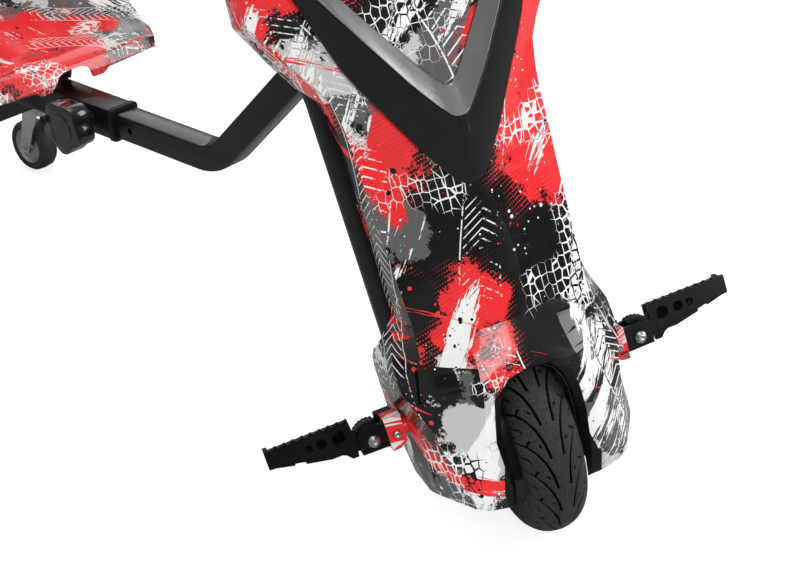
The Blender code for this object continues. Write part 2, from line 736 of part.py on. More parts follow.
# Sections of the fairing's outer skin up the fork: height, then seven places of
# (half width, distance ahead of the steering axis) from the middle round to the back
FAIRING_SECTIONS = (
    (522, (0, 125.6), (126, 125.6), (141, 110), (154, 94), (157, 70), (156, 42), (153, 19)),
    (477, (0, 121.1), (111, 121.1), (132, 106), (153, 92), (157, 70), (159, 42), (156.5, 18)),
    (432, (0, 116.6), (96, 116.6), (112, 104), (126.5, 92), (129, 72), (134.5, 44), (134, 17)),
    (404, (0, 113.8), (85, 113.8), (98, 102), (109, 92), (105, 77), (116.5, 46), (117, 16)),
    (386, (0, 112), (76, 112), (89, 100), (100, 92), (94, 76), (103, 47), (101.5, 15)),
    (360, (0, 112), (61, 112), (81, 93), (96.5, 89), (90.5, 76), (98, 47), (96.5, 14.5)),
    (335, (0, 112), (47, 112), (74, 88), (95, 87), (90, 76), (96.5, 47), (95.5, 14)),
    (292, (0, 111), (22, 111), (67, 85), (94.5, 85), (91, 77), (96.5, 46), (95.5, 14)),
    (272, (0, 109), (14, 108), (64, 85), (93.5, 84), (91, 77), (96, 46), (95, 14)),
    (205, (0, 104), (24, 102), (53, 91), (92, 81), (90.5, 76), (95.5, 45), (95, 14)),
    (158, (0, 101), (22, 100), (47, 91), (90.5, 80), (90, 76), (95, 44), (95, 14)),
    (146, (0, 102), (22, 101), (46, 92), (91, 78), (100, 38), (103, 27), (106, 15)),
    (138, (0, 103), (22, 102), (46, 94), (91, 78), (107, 34), (110, 24), (113, 13)),
    (126, (0, 107), (22, 106), (46, 100), (92, 77), (111, 34), (114, 12), (116, -8)),
    (116, (0, 110), (22, 109), (46, 103), (92, 77), (114, 40), (116.5, 10), (118, -30)),
    (104, (0, 114), (22, 113), (47, 108), (93, 78), (117, 47), (119, 18), (119, -44)),
    (91, (0, 116), (24, 116), (48, 114), (93, 82), (117, 52), (119, 24), (120, -46)),
    (85, (22, 114), (34, 117), (50, 115), (91, 84), (116, 56), (118.5, 28), (120, -46)),
    (70, (33, 109), (42, 114), (52, 113), (86, 89), (111, 67), (116, 42), (120, -46)),
    (48, (38.5, 103), (46, 109), (56, 108), (81, 91), (102.5, 76), (111, 46), (120, -46)),
    (20, (42, 91), (49, 98), (58, 99), (78, 90.5), (97.5, 78), (110, 44), (118.5, -46)),
    (-8, (40.5, 86), (47, 93), (57, 94), (75, 90), (91, 81), (111, 42), (116, -46)),
)
# The fold above the boots' chin and the boots' lower edge: half width, distance ahead
# and height at the same seven places
CHIN_FOLD = (
    (39, 80, -37), (44, 86, -37), (54, 89, -37), (72, 88, -37),
    (85, 82, -36), (111, 41, -26), (113, -46, -36),
)
BOOT_EDGE = (
    (40, 67, -64), (44, 70, -62), (53, 76, -59), (72, 82, -52),
    (84, 78, -47), (109.5, 38, -35), (104, -46, -64),
)
NOSE_TOP = 160  # sections up to here follow the tyre
# The dent in each boot's upper outer corner: half width, height and depth in the skin
BOOT_DENT = ((98, 118, 1.9), (106.5, 77, 1.9), (92, 84, 1.7), (80, 106, -0.8))


def round_the_tyre(x, ahead, height):
    """A place on the lower fairing, from the axle: it moves out where the tyre is larger."""
    return Vector((x * MM, -ahead * MM * ROUND_THE_TYRE, height * MM * ROUND_THE_TYRE))


def fairing_ahead(x, height):
    """How far ahead the lower fairing's skin lies at a half width and a height."""
    for (high, *above), (low, *below) in zip(FAIRING_SECTIONS, FAIRING_SECTIONS[1:]):
        if low <= height <= high:
            share = (high - height) / (high - low)
            line = [Vector(one).lerp(Vector(two), share) for one, two in zip(above, below)]
            for inner, outer in zip(line, line[1:]):
                if inner.x <= x <= outer.x:
                    return inner.lerp(outer, (x - inner.x) / (outer.x - inner.x)).y
    return 0.0


def build_front_cover():
    sections = []
    for height, *places in FAIRING_SECTIONS:
        if height > NOSE_TOP:
            sections.append([Vector((x * MM, -ahead * MM, height * MM)) for x, ahead in places])
        else:
            sections.append([round_the_tyre(x, ahead, height) for x, ahead in places])
    for line in (CHIN_FOLD, BOOT_EDGE):
        sections.append([round_the_tyre(*spot) for spot in line])
    cover = loft("front_cover", sections)
    mirror(cover)
    thicken(cover, SKIN, COVER_INWARD)
    place(smooth(cover, CREASE_ANGLE), STEERING, mat=PRINTED)
    for side, sign in (("right", -1), ("left", 1)):
        hole = cylinder("bracket_hole_" + side, STUB_RADIUS + STUB_ROOM, 30 * MM, 20)
        place(hole, STEERING, (sign * 118 * MM, 0, PEG_BOLT_K), ACROSS)
        cut(cover, hole)
        dent = boot_dent("boot_dent_" + side, sign)
        place(dent, STEERING)
        cut(cover, dent)


def boot_dent(name, sign):
    """A tool whose floor follows the skin at a depth that runs out to nothing on one side."""
    outwards = Vector((sign * 0.74, -0.62, 0.25)) * MM
    upper_outer, lower_outer, lower_inner, upper_inner = (Vector(corner) for corner in BOOT_DENT)
    steps = 4
    sections = []
    for down in range(steps + 1):
        outer = upper_outer.lerp(lower_outer, down / steps)
        inner = upper_inner.lerp(lower_inner, down / steps)
        floor, lid = [], []
        for across in range(steps + 1):
            x, height, depth = outer.lerp(inner, across / steps)
            spot = round_the_tyre(sign * x, fairing_ahead(x, height), height)
            floor.append(spot - outwards * depth)
            lid.append(spot + outwards * 10)
        sections.append(floor + lid[::-1])
    return loft(name, sections, closed=True)


# The V trim from its tip up one arm, as (half width, height) of its outer edge, of the
# crest where the silver band begins and of the band's inner edge round the panel. It is
# drawn for one rise from tip to top, and stretched to the fairing's own.
TRIM_TIP = 280.5 * MM
DRAWN_RISE = 241.5 * MM
TRIM_STRETCH = (FAIRING_TOP - TRIM_TIP) / DRAWN_RISE
TRIM_STATIONS = (
    ((0, 280.5), (0, 347.5), (0, 377)),
    ((8, 282), (4.5, 348.3), (2.6, 377.3)),
    ((14, 287.5), (8.5, 350.8), (5.4, 379.5)),
    ((20.5, 295.5), (13, 356), (9, 383.5)),
    ((28, 307), (17.7, 361.6), (13.2, 388.7)),
    ((38.7, 323), (23, 369), (17.7, 394.6)),
    ((49.5, 343), (30, 378.7), (22.8, 402)),
    ((61.5, 365), (39, 392), (29.5, 412)),
    ((77.3, 394), (53.7, 416), (40.5, 428)),
    ((88, 416), (66, 436.5), (51, 445)),
    ((96, 440), (78, 457), (62.7, 463.5)),
    ((109, 480), (96, 487), (80, 491)),
    ((122, 522), (117, 522), (99.5, 522)),
)
PANEL_TOP = 3.4 * MM  # thickness of the panel at its top, where the fairing has come forward most
PANEL_FACE = TRIM_FACE + FACE_FLARE * (FAIRING_TOP - FLARE_START) + PANEL_TOP
BAND_EDGE = PANEL_FACE + 2 * MM
TRIM_CREST = PANEL_FACE + 14 * MM  # how far the crest lies ahead of the steering axis
TRIM_WALL = 4.5 * MM  # height of the trim's outer wall over the fairing
TRIM_ROUNDING = 2.5 * MM


def trim_station(corners):
    """The corners of a drawn station, stretched with the trim."""
    tip = TRIM_TIP / MM
    return tuple((x, tip + (height - tip) * TRIM_STRETCH) for x, height in corners)


def fairing_face(height):
    """How far the fairing's flat middle lies ahead of the steering axis."""
    return TRIM_FACE + FACE_FLARE * max(0, height - FLARE_START)


def band_body(name, stations, across, mat):
    """Half of a V-shaped band, mirrored: each station gives its corners across the band."""
    piece = loft(name, [across(*trim_station(corners)) for corners in stations], closed=True)
    bm = bmesh.new()
    bm.from_mesh(piece.data)
    middle = [face for face in bm.faces if all(abs(vert.co.x) < 1e-7 for vert in face.verts)]
    bmesh.ops.delete(bm, geom=middle, context="FACES")
    bm.to_mesh(piece.data)
    bm.free()
    mirror(piece)
    place(piece, STEERING, mat=mat)
    return smooth(piece, 40)


def build_trim():
    """The raised V on the fairing, the silver band inside it and the panel within that."""

    def corner(spot, ahead, inset=0.0, towards=None):
        """A corner at a station, set in from its edge towards the next line by a distance."""
        spot = Vector(spot)
        if towards is not None:
            spot = spot + (Vector(towards) - spot).normalized() * inset / MM
        return Vector((max(spot.x, 0) * MM, -ahead, spot.y * MM))

    def on_face(spot):
        return fairing_face(spot[1] * MM) + GAP

    def across_trim(outer, crest, _inner):
        wall = on_face(outer) + TRIM_WALL
        gap = GAP / 2
        return [
            corner(outer, on_face(outer)),
            corner(outer, wall),
            corner(outer, wall + 0.65 * TRIM_ROUNDING, 0.3 * TRIM_ROUNDING, crest),
            corner(outer, wall + 1.1 * TRIM_ROUNDING, TRIM_ROUNDING, crest),
            corner(crest, TRIM_CREST - 0.5 * MM, gap + 1.2 * MM, outer),
            corner(crest, TRIM_CREST - 0.9 * MM, gap, outer),
            corner(crest, on_face(crest), gap, outer),
        ]

    def across_band(_outer, crest, inner):
        gap = GAP / 2
        return [
            corner(crest, on_face(crest), gap, inner),
            corner(crest, TRIM_CREST - 0.6 * MM, gap, inner),
            corner(crest, TRIM_CREST, gap + 0.7 * MM, inner),
            corner(crest, TRIM_CREST - 0.6 * MM, gap + 1.5 * MM, inner),
            corner(inner, BAND_EDGE + 3.4 * MM, 7 * MM, crest),
            corner(inner, BAND_EDGE, 0.5 * MM, crest),
            corner(inner, on_face(inner), 0.5 * MM, crest),
        ]

    band_body("v_trim", TRIM_STATIONS, across_trim, TRIM_BLACK)
    band_body("silver_band", TRIM_STATIONS, across_band, SILVER)

    def across_panel(_outer, _crest, inner):
        return [
            corner((0, inner[1]), on_face(inner)), corner((0, inner[1]), PANEL_FACE),
            corner(inner, PANEL_FACE), corner(inner, on_face(inner)),
        ]

    tip = trim_station(TRIM_STATIONS[0])[2]
    rows = [across_panel(*trim_station(corners)) for corners in TRIM_STATIONS[1:]]
    bm = bmesh.new()
    back, front = bm.verts.new(corner(tip, on_face(tip))), bm.verts.new(corner(tip, PANEL_FACE))
    rings = [[bm.verts.new(point) for point in row] for row in rows]
    bm.faces.new((back, rings[0][0], rings[0][3]))
    bm.faces.new((front, rings[0][2], rings[0][1]))
    bm.faces.new((back, rings[0][3], rings[0][2], front))
    for one, two in zip(rings, rings[1:]):
        for index in range(1, 4):
            following = (index + 1) % 4
            bm.faces.new((one[index], one[following], two[following], two[index]))
    bm.faces.new(rings[-1])
    panel = object_from_bmesh("centre_panel", bm)
    mirror(panel)
    place(panel, STEERING, mat=PRINTED)


def build_inner_covers():
    """The back cover clipped to the fork, the shelf in it, the battery and the controller."""
    sheet = 3 * MM
    back_y = LEG_Y - LEG_RADIUS - GAP - sheet / 2
    height = CROWN_BOTTOM - 4 * MM - BACK_COVER_FOOT
    back = plate("back_cover", [rounded_rectangle(2 * LEG_X - 3.2 * MM, height, 6 * MM, 2)], sheet)
    place(back, STEERING, (0, back_y, BACK_COVER_FOOT + height / 2), FORWARD, PLASTIC)
    shelf_k = BACK_COVER_FOOT + 4 * MM
    shelf_depth = BATTERY_SIZE.y + 8 * MM
    shelf = block("shelf", (2 * LEG_X - 36 * MM, shelf_depth, sheet))
    place(shelf, STEERING, (0, back_y - shelf_depth / 2, shelf_k))
    join(back, shelf)
    pack_y = back_y - sheet / 2 - GAP
    battery = block("battery_pack", BATTERY_SIZE, 5 * MM, 2)
    foot = shelf_k + sheet / 2 + GAP
    place(battery, STEERING, (0, pack_y - BATTERY_SIZE.y / 2, foot + BATTERY_SIZE.z / 2), mat=PLASTIC)
    foot += BATTERY_SIZE.z + GAP
    controller = block("motor_controller", CONTROLLER_SIZE, 3 * MM, 1)
    middle = (0, pack_y - CONTROLLER_SIZE.y / 2, foot + CONTROLLER_SIZE.z / 2)
    place(controller, STEERING, middle, mat=ALLOY)


# The liner inside the arch, from its front edge to its rear edge. Each row runs from
# the middle down one side: half width, distance ahead of the axle, height
LINER_ROWS = (
    (
        (0, 110.5, 86.5), (14, 110.5, 85), (24, 108.5, 77.5), (31, 104, 65),
        (36, 98, 49), (39.6, 86.8, 22), (38.2, 82, -8), (37, 76, -30),
    ),
    (
        (0, 92, 107), (14, 92, 105), (26, 91, 96), (34, 88, 78),
        (37.5, 84, 58), (39.6, 84, 26), (38.2, 81, -6), (37, 75, -30),
    ),
    (
        (0, 62, 125), (14, 62, 123), (28, 61, 113), (36, 62, 92),
        (39.5, 64, 68), (40, 80, 30), (38.6, 79, -4), (37.4, 73.5, -30),
    ),
)


def build_liner():
    """The black inner arch that closes the fairing towards the tyre."""
    rows = [[round_the_tyre(x, ahead, height) for x, ahead, height in row] for row in LINER_ROWS]
    liner = loft("wheel_liner", rows)
    mirror(liner)
    thicken(liner, 2.4 * MM, 1.0)
    place(smooth(liner, 50), STEERING, mat=TRIM_BLACK)


# Outlines of the peg and what carries it: place out from the middle and height, in mm
BRACKET_OUTLINE = ((119, 54), (137.2, 54), (137.2, 31), (136.7, 18), (128, 18.5), (119, 24))
CLEVIS_OUTLINE = (
    (137.5, 24.8), (137.5, 51.2), (147, 52.8), (156.5, 53.4),
    (164.6, 50.5), (167.6, 47.5), (167.6, 25.5),
)
PEG_OUTLINE = (
    (PEG_END / MM, 66), (PEG_END / MM, 46), (256, 45.5), (237.5, 41), (235.5, 42.7),
    (225.7, 40.5), (225.2, 38), (198.6, 32.4), (187.8, 32.4), (183.6, 30.6),
    (178.3, 24.7), (171.5, 24.7), (170, 36), (170, 49),
)
PEG_REAR_OUTLINE = (
    (173, 60), (258, 60), (258, 46), (226, 41.5), (203, 36), (186, 33), (178, 29), (173, 29),
)
PEG_HOLES = ((185.5, 7.3), (204.5, 5.8), (218.5, 4.4))


def sideways(outline, sign, start=(0, 0)):
    """An outline in mm brought to one side of the scooter and to a place of its own."""
    return [(sign * (x * MM - start[0]), height * MM - start[1]) for x, height in outline]


def tooth_line():
    """The scalloped upper edge of a peg, from its root out to its tip."""
    wave = ((0, 0), (0.2, 0.18), (0.45, 0.7), (0.66, 1), (0.84, 0.6))
    points = []
    start = 172.2 * MM
    for tooth in range(int((PEG_END - start) / TOOTH_PITCH)):
        for share, fall in wave:
            points.append((start + (tooth + share) * TOOTH_PITCH, PEG_TOP - fall * TOOTH_DEPTH))
    return [(x / MM, height / MM) for x, height in points]


def build_pegs():
    """Each peg folds up about a bolt between the cheeks of a clevis on the boot's side."""
    for side, sign in (("right", -1), ("left", 1)):
        bolt_place = (sign * PEG_BOLT_X, 0, PEG_BOLT_K)
        bracket = plate("peg_bracket_" + side, [sideways(BRACKET_OUTLINE, sign)], BRACKET_DEPTH)
        place(bracket, STEERING, rotation=FORWARD, mat=PRINTED)
        stub = cylinder("bracket_stub_" + side, STUB_RADIUS, 18 * MM, 20)
        place(stub, STEERING, (sign * 118.4 * MM, 0, PEG_BOLT_K), ACROSS)
        join(bracket, stub)
        notch = cylinder("bracket_notch_" + side, KNUCKLE_RADIUS + 2 * GAP, CLEVIS_SLOT + 2 * GAP, 32)
        place(notch, STEERING, bolt_place, FORWARD)
        cut(bracket, notch)
        groove = ring("screw_groove_" + side, 5.3 * MM, 4.4 * MM, 3 * MM, 20)
        place(groove, STEERING, (sign * 127.8 * MM, -BRACKET_DEPTH / 2, 34.2 * MM), FORWARD)
        cut(bracket, groove)

        clevis = plate("peg_clevis_" + side, [sideways(CLEVIS_OUTLINE, sign)], BRACKET_DEPTH)
        place(clevis, STEERING, rotation=FORWARD, mat=COATED_STEEL)
        slot = block("clevis_slot_" + side, (44 * MM, CLEVIS_SLOT, 40 * MM))
        web_top = CLEVIS_OUTLINE[0][1] * MM + CLEVIS_WEB
        place(slot, STEERING, (sign * PEG_BOLT_X, 0, web_top + 20 * MM))
        cut(clevis, slot)
        stop = block("clevis_stop_" + side, (20 * MM, 10.7 * MM, 15 * MM), 1.5 * MM, 1)
        place(stop, STEERING, (sign * 131.5 * MM, 17.65 * MM, 47.8 * MM))
        tie = block("clevis_tie_" + side, (4 * MM, 6 * MM, 9 * MM))
        place(tie, STEERING, (sign * 139.5 * MM, 12.5 * MM, 46 * MM))
        join(clevis, stop)
        join(clevis, tie)
        bolt_hole = cylinder("clevis_hole_" + side, PEG_BOLT_RADIUS + RUNNING, 40 * MM, 20)
        place(bolt_hole, STEERING, bolt_place, FORWARD)
        cut(clevis, bolt_hole)

        face = BRACKET_DEPTH / 2 + GAP
        bolt = turned(
            "peg_bolt_" + side,
            [
                (0, face + 5.2 * MM), (3.6 * MM, face + 4.9 * MM), (6.4 * MM, face + 2.3 * MM),
                (7 * MM, face), (PEG_BOLT_RADIUS, face), (PEG_BOLT_RADIUS, -face - 4.7 * MM),
                (0, -face - 4.7 * MM),
            ],
            20,
        )
        place(bolt, STEERING, bolt_place, FORWARD, ZINC)
        build_peg(side, sign, empty("peg_pivot_" + side, bolt_place, parent=STEERING))


def build_peg(side, sign, pivot):
    """A cage of a toothed front plate with three holes, a tip, a web and a rear plate."""
    bolt = (PEG_BOLT_X, PEG_BOLT_K)

    def across_peg(name, x, width, height, tall):
        """A block that joins the two plates, at a place and height from the scooter's middle."""
        piece = block(name, (width, PEG_DEPTH - 2 * MM, tall))
        place(piece, pivot, (sign * (x - bolt[0]), PEG_DEPTH / 2 - PEG_FRONT, height - bolt[1]))
        join(front_plate, piece)

    holes = [circle(sideways([(x, 52)], sign, bolt)[0], radius * MM, 16) for x, radius in PEG_HOLES]
    outer = sideways(tooth_line() + list(PEG_OUTLINE), sign, bolt)
    front_plate = plate("peg_" + side, [outer] + holes, PEG_PLATE)
    place(front_plate, pivot, (0, PEG_PLATE / 2 - PEG_FRONT, 0), FORWARD, COATED_STEEL)
    rear_plate = plate("peg_rear_" + side, [sideways(PEG_REAR_OUTLINE, sign, bolt)], PEG_PLATE)
    place(rear_plate, pivot, (0, PEG_DEPTH - PEG_FRONT - PEG_PLATE / 2, 0), FORWARD)
    join(front_plate, rear_plate)
    across_peg("peg_tip_" + side, PEG_END - PEG_PLATE / 2 - 0.5 * MM, PEG_PLATE, 55 * MM, 17 * MM)
    across_peg("peg_web_" + side, 176.6 * MM, 6 * MM, 42 * MM, 20 * MM)
    ribs = 11
    outline = []
    for step in range(2 * ribs + 1):
        angle = math.radians(-20 + 133 * step / (2 * ribs))
        reach = (KNUCKLE_RADIUS if step % 2 else KNUCKLE_RADIUS - 1.1 * MM) / MM
        outline.append((reach * math.cos(angle), reach * math.sin(angle)))
    outline += [(x / MM, height / MM) for x, height in arc((0, 0), KNUCKLE_FOOT, 113, 340, 12)]
    knuckle = plate("peg_knuckle_" + side, [sideways(outline, sign)], KNUCKLE_DEPTH)
    place(knuckle, pivot, rotation=FORWARD)
    join(front_plate, knuckle)
    bore = cylinder("peg_bore_" + side, PEG_BOLT_RADIUS + RUNNING, 30 * MM, 20)
    place(bore, pivot, (0, 0, 0), FORWARD)
    cut(front_plate, bore)


BAR_RADIUS = 11.1 * MM
BAR_END = 235 * MM
BAR_K = STEERER_TOP + 12 * MM
BAR_Y = 30 * MM  # how far the grips lie behind the steering axis
BAR_CLEARANCE = 0.15 * MM
GRIP_LENGTH = 108 * MM
GRIP_RADIUS = 15.5 * MM
STEM_HALF = 25 * MM
STEM_K = BAR_K - 4 * MM
DISPLAY_HEIGHT = 15 * MM
BUTTON_RADIUS = 5 * MM
BUTTON_TRAVEL = 1.2 * MM
LEVER_PIVOT = (108 * MM, BAR_Y - 32 * MM)
LEVER_THICKNESS = 7 * MM
LEVER_OUTLINE = (
    (-6, -5), (14, -9), (60, -18), (112, -18), (120, -13), (118, -7),
    (108, -8), (60, -9), (16, 1), (8, 5), (-6, 5),
)


def build_handlebar():
    half = bend(
        [
            Vector((0, 0, BAR_K)),
            Vector((44 * MM, 0, BAR_K)),
            Vector((92 * MM, BAR_Y, BAR_K)),
            Vector((BAR_END, BAR_Y, BAR_K)),
        ],
        30 * MM,
        4,
    )
    other = [Vector((-point.x, point.y, point.z)) for point in half[:0:-1]]
    bar = rod("handlebar", other + half, BAR_RADIUS, 2)
    place(bar, STEERING, mat=COATED_STEEL)
    stem = block("stem_clamp", (46 * MM, 34 * MM, 2 * STEM_HALF), 4 * MM, 2)
    place(stem, STEERING, (0, 0, STEM_K), mat=ALLOY)
    bar_room = cylinder("stem_bar_room", BAR_RADIUS + GAP, 60 * MM, 32)
    place(bar_room, STEERING, (0, 0, BAR_K), ACROSS)
    cut(stem, bar_room)
    steerer_room = cylinder("stem_steerer_room", STEERER_RADIUS + RUNNING, 60 * MM, 32)
    place(steerer_room, STEERING, (0, 0, STEERER_TOP + GAP - 30 * MM))
    cut(stem, steerer_room)
    end = GRIP_LENGTH / 2
    bore = BAR_RADIUS + BAR_CLEARANCE
    for side, sign in (("right", -1), ("left", 1)):
        grip = turned(
            "grip_" + side,
            [
                (0, end), (GRIP_RADIUS - 2 * MM, end), (GRIP_RADIUS, end - 3 * MM),
                (GRIP_RADIUS, -end + 5 * MM), (GRIP_RADIUS + 4 * MM, -end + 4 * MM),
                (GRIP_RADIUS + 4 * MM, -end), (bore, -end), (bore, end - 4 * MM), (0, end - 4 * MM),
            ],
            20,
        )
        middle = BAR_END + 4 * MM + GAP - end
        place(grip, STEERING, (sign * middle, BAR_Y, BAR_K), (0, sign * math.radians(90), 0), SOFT_GRIP)


def build_display():
    base = STEM_K + STEM_HALF + GAP
    display = block("display_unit", (62 * MM, 44 * MM, DISPLAY_HEIGHT), 3 * MM, 2)
    place(display, STEERING, (0, 4 * MM, base + DISPLAY_HEIGHT / 2), mat=SCREEN)
    well_depth = 6 * MM
    top = base + DISPLAY_HEIGHT
    for name, x in (("power_button", -20 * MM), ("mode_button", 20 * MM)):
        well = cylinder(name + "_well", BUTTON_RADIUS + RUNNING, 2 * well_depth, 20)
        place(well, STEERING, (x, 12 * MM, top))
        cut(display, well)
        height = well_depth - BUTTON_TRAVEL - GAP + 1.5 * MM
        button = cylinder(name, BUTTON_RADIUS, height, 20)
        place(button, STEERING, (x, 12 * MM, top + 1.5 * MM - height / 2), mat=PLASTIC)


def build_controls():
    """The thumb throttle beside the right grip and the brake lever before the left one."""
    bore = BAR_RADIUS + BAR_CLEARANCE
    grip_start = BAR_END + 4 * MM + GAP - GRIP_LENGTH
    housing_width = 14 * MM
    collar = 17.5 * MM
    paddle_width = 9 * MM
    paddle_x = grip_start - GAP - paddle_width / 2
    housing = ring("throttle_housing", collar, bore, housing_width, 24)
    housing_x = paddle_x - paddle_width / 2 - GAP - housing_width / 2
    place(housing, STEERING, (-housing_x, BAR_Y, BAR_K), ACROSS, PLASTIC)
    throttle = empty("throttle_pivot", (-paddle_x, BAR_Y, BAR_K), parent=STEERING)
    paddle = ring("throttle_paddle", collar - 1 * MM, bore, paddle_width, 24)
    place(paddle, throttle, rotation=ACROSS, mat=PLASTIC)
    blade = block("throttle_blade", (paddle_width, 30 * MM, 5 * MM), 1.5 * MM, 1)
    place(blade, throttle, (0, 28 * MM, -8 * MM), (math.radians(-12), 0, 0))
    join(paddle, blade)

    perch_width = 16 * MM
    perch_x = grip_start - GAP - perch_width / 2
    perch = ring("brake_perch", collar, bore, perch_width, 24)
    place(perch, STEERING, (perch_x, BAR_Y, BAR_K), ACROSS, PLASTIC)
    arm_length = 23 * MM
    arm = block("perch_arm", (26 * MM, arm_length, 14 * MM), 2 * MM, 2)
    place(arm, STEERING, (LEVER_PIVOT[0] + 5 * MM, LEVER_PIVOT[1] + 7.5 * MM, BAR_K))
    join(perch, arm)
    mouth = block("perch_mouth", (60 * MM, 24 * MM, LEVER_THICKNESS + 2 * GAP))
    place(mouth, STEERING, (LEVER_PIVOT[0], LEVER_PIVOT[1] - 5 * MM, BAR_K))
    cut(perch, mouth)
    lever_pivot = empty("brake_lever_pivot", (*LEVER_PIVOT, BAR_K), parent=STEERING)
    lever = plate("brake_lever", [sideways(LEVER_OUTLINE, 1)], LEVER_THICKNESS)
    place(lever, lever_pivot, mat=COATED_STEEL)
    add_bevel(lever, 1.2 * MM, 1, 50)


build_front_wheel()
build_fork()
build_frame()
build_sliding_rear()
build_seat()
build_knob()
build_casters()
build_front_cover()
build_trim()
build_inner_covers()
build_liner()
build_pegs()
build_handlebar()
build_display()
build_controls()
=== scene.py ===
# %% [markdown]
# # A drift scooter, dressed for the studio
#
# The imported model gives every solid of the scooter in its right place.
# This lesson gives each of them its real finish: printed plastic, powder
# coat, zinc, alloy and rubber. It adds what is too fine for the solids, such
# as tyre tread, screws, weld beads and grip ribs, and it ends with the light,
# the floor and the camera.

import json
import math

import bmesh
import bpy
from mathutils import Matrix, Vector


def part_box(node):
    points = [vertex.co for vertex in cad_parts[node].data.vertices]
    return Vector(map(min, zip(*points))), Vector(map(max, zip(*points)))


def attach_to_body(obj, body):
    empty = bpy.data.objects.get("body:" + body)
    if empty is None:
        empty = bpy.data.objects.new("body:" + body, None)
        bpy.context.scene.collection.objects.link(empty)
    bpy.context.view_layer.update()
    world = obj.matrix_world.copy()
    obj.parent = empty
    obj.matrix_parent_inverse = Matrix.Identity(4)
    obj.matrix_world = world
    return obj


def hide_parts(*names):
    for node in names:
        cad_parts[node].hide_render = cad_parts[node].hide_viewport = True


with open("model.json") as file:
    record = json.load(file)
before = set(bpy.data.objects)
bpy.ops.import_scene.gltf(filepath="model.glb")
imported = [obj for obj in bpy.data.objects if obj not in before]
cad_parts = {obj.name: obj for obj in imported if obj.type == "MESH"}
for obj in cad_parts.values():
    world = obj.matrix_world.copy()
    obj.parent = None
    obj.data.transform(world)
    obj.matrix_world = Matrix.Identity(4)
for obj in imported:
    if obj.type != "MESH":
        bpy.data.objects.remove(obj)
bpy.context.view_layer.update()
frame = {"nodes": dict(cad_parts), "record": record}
MM = 0.001
print("solids loaded:", len(frame["nodes"]))

# %% [markdown]
# The record that comes with the solids says which moving body each one
# belongs to, and where the joints are. The steering assembly stands turned
# and raked, so its own axes are found once from its two joints: the steering
# axis points up along the fork, and the wheel's axle points to the rider's
# left. `in_steering` turns a point that is given along those axes into a
# point of the whole scooter.

# %% Bodies and the steering frame
body_of_node = {}
for body_name, node_names in frame["record"]["behaviour"]["bodies"].items():
    for node_name in node_names:
        body_of_node[node_name] = body_name
slot_of_node = {entry["node"]: entry["material_slot"] for entry in frame["record"]["subparts"]}
joints = {joint["name"]: joint for joint in frame["record"]["behaviour"]["joints"]}

fork_up = Vector(joints["steering"]["axis"]).normalized()
axle_left = Vector(joints["front_wheel_roll"]["axis"]).normalized()
fork_back = fork_up.cross(axle_left)
steering = Matrix((axle_left, fork_back, fork_up)).transposed().to_4x4()
steering.translation = Vector(joints["steering"]["pos_m"])


def in_steering(across, back, up):
    """A point in millimetres along the steering's own axes, as a point of the scooter in metres."""
    return steering @ Vector((across * MM, back * MM, up * MM))


print("axle centre:", tuple(round(value, 4) for value in steering.translation))

# %% [markdown]
# Shader and geometry trees are long to write out node by node. A small
# helper keeps them readable: each call adds one node, sets its inputs, links
# the ones that are sockets, and hands back the new node or its output. Five
# short functions after it make materials, objects, meshes and node groups.


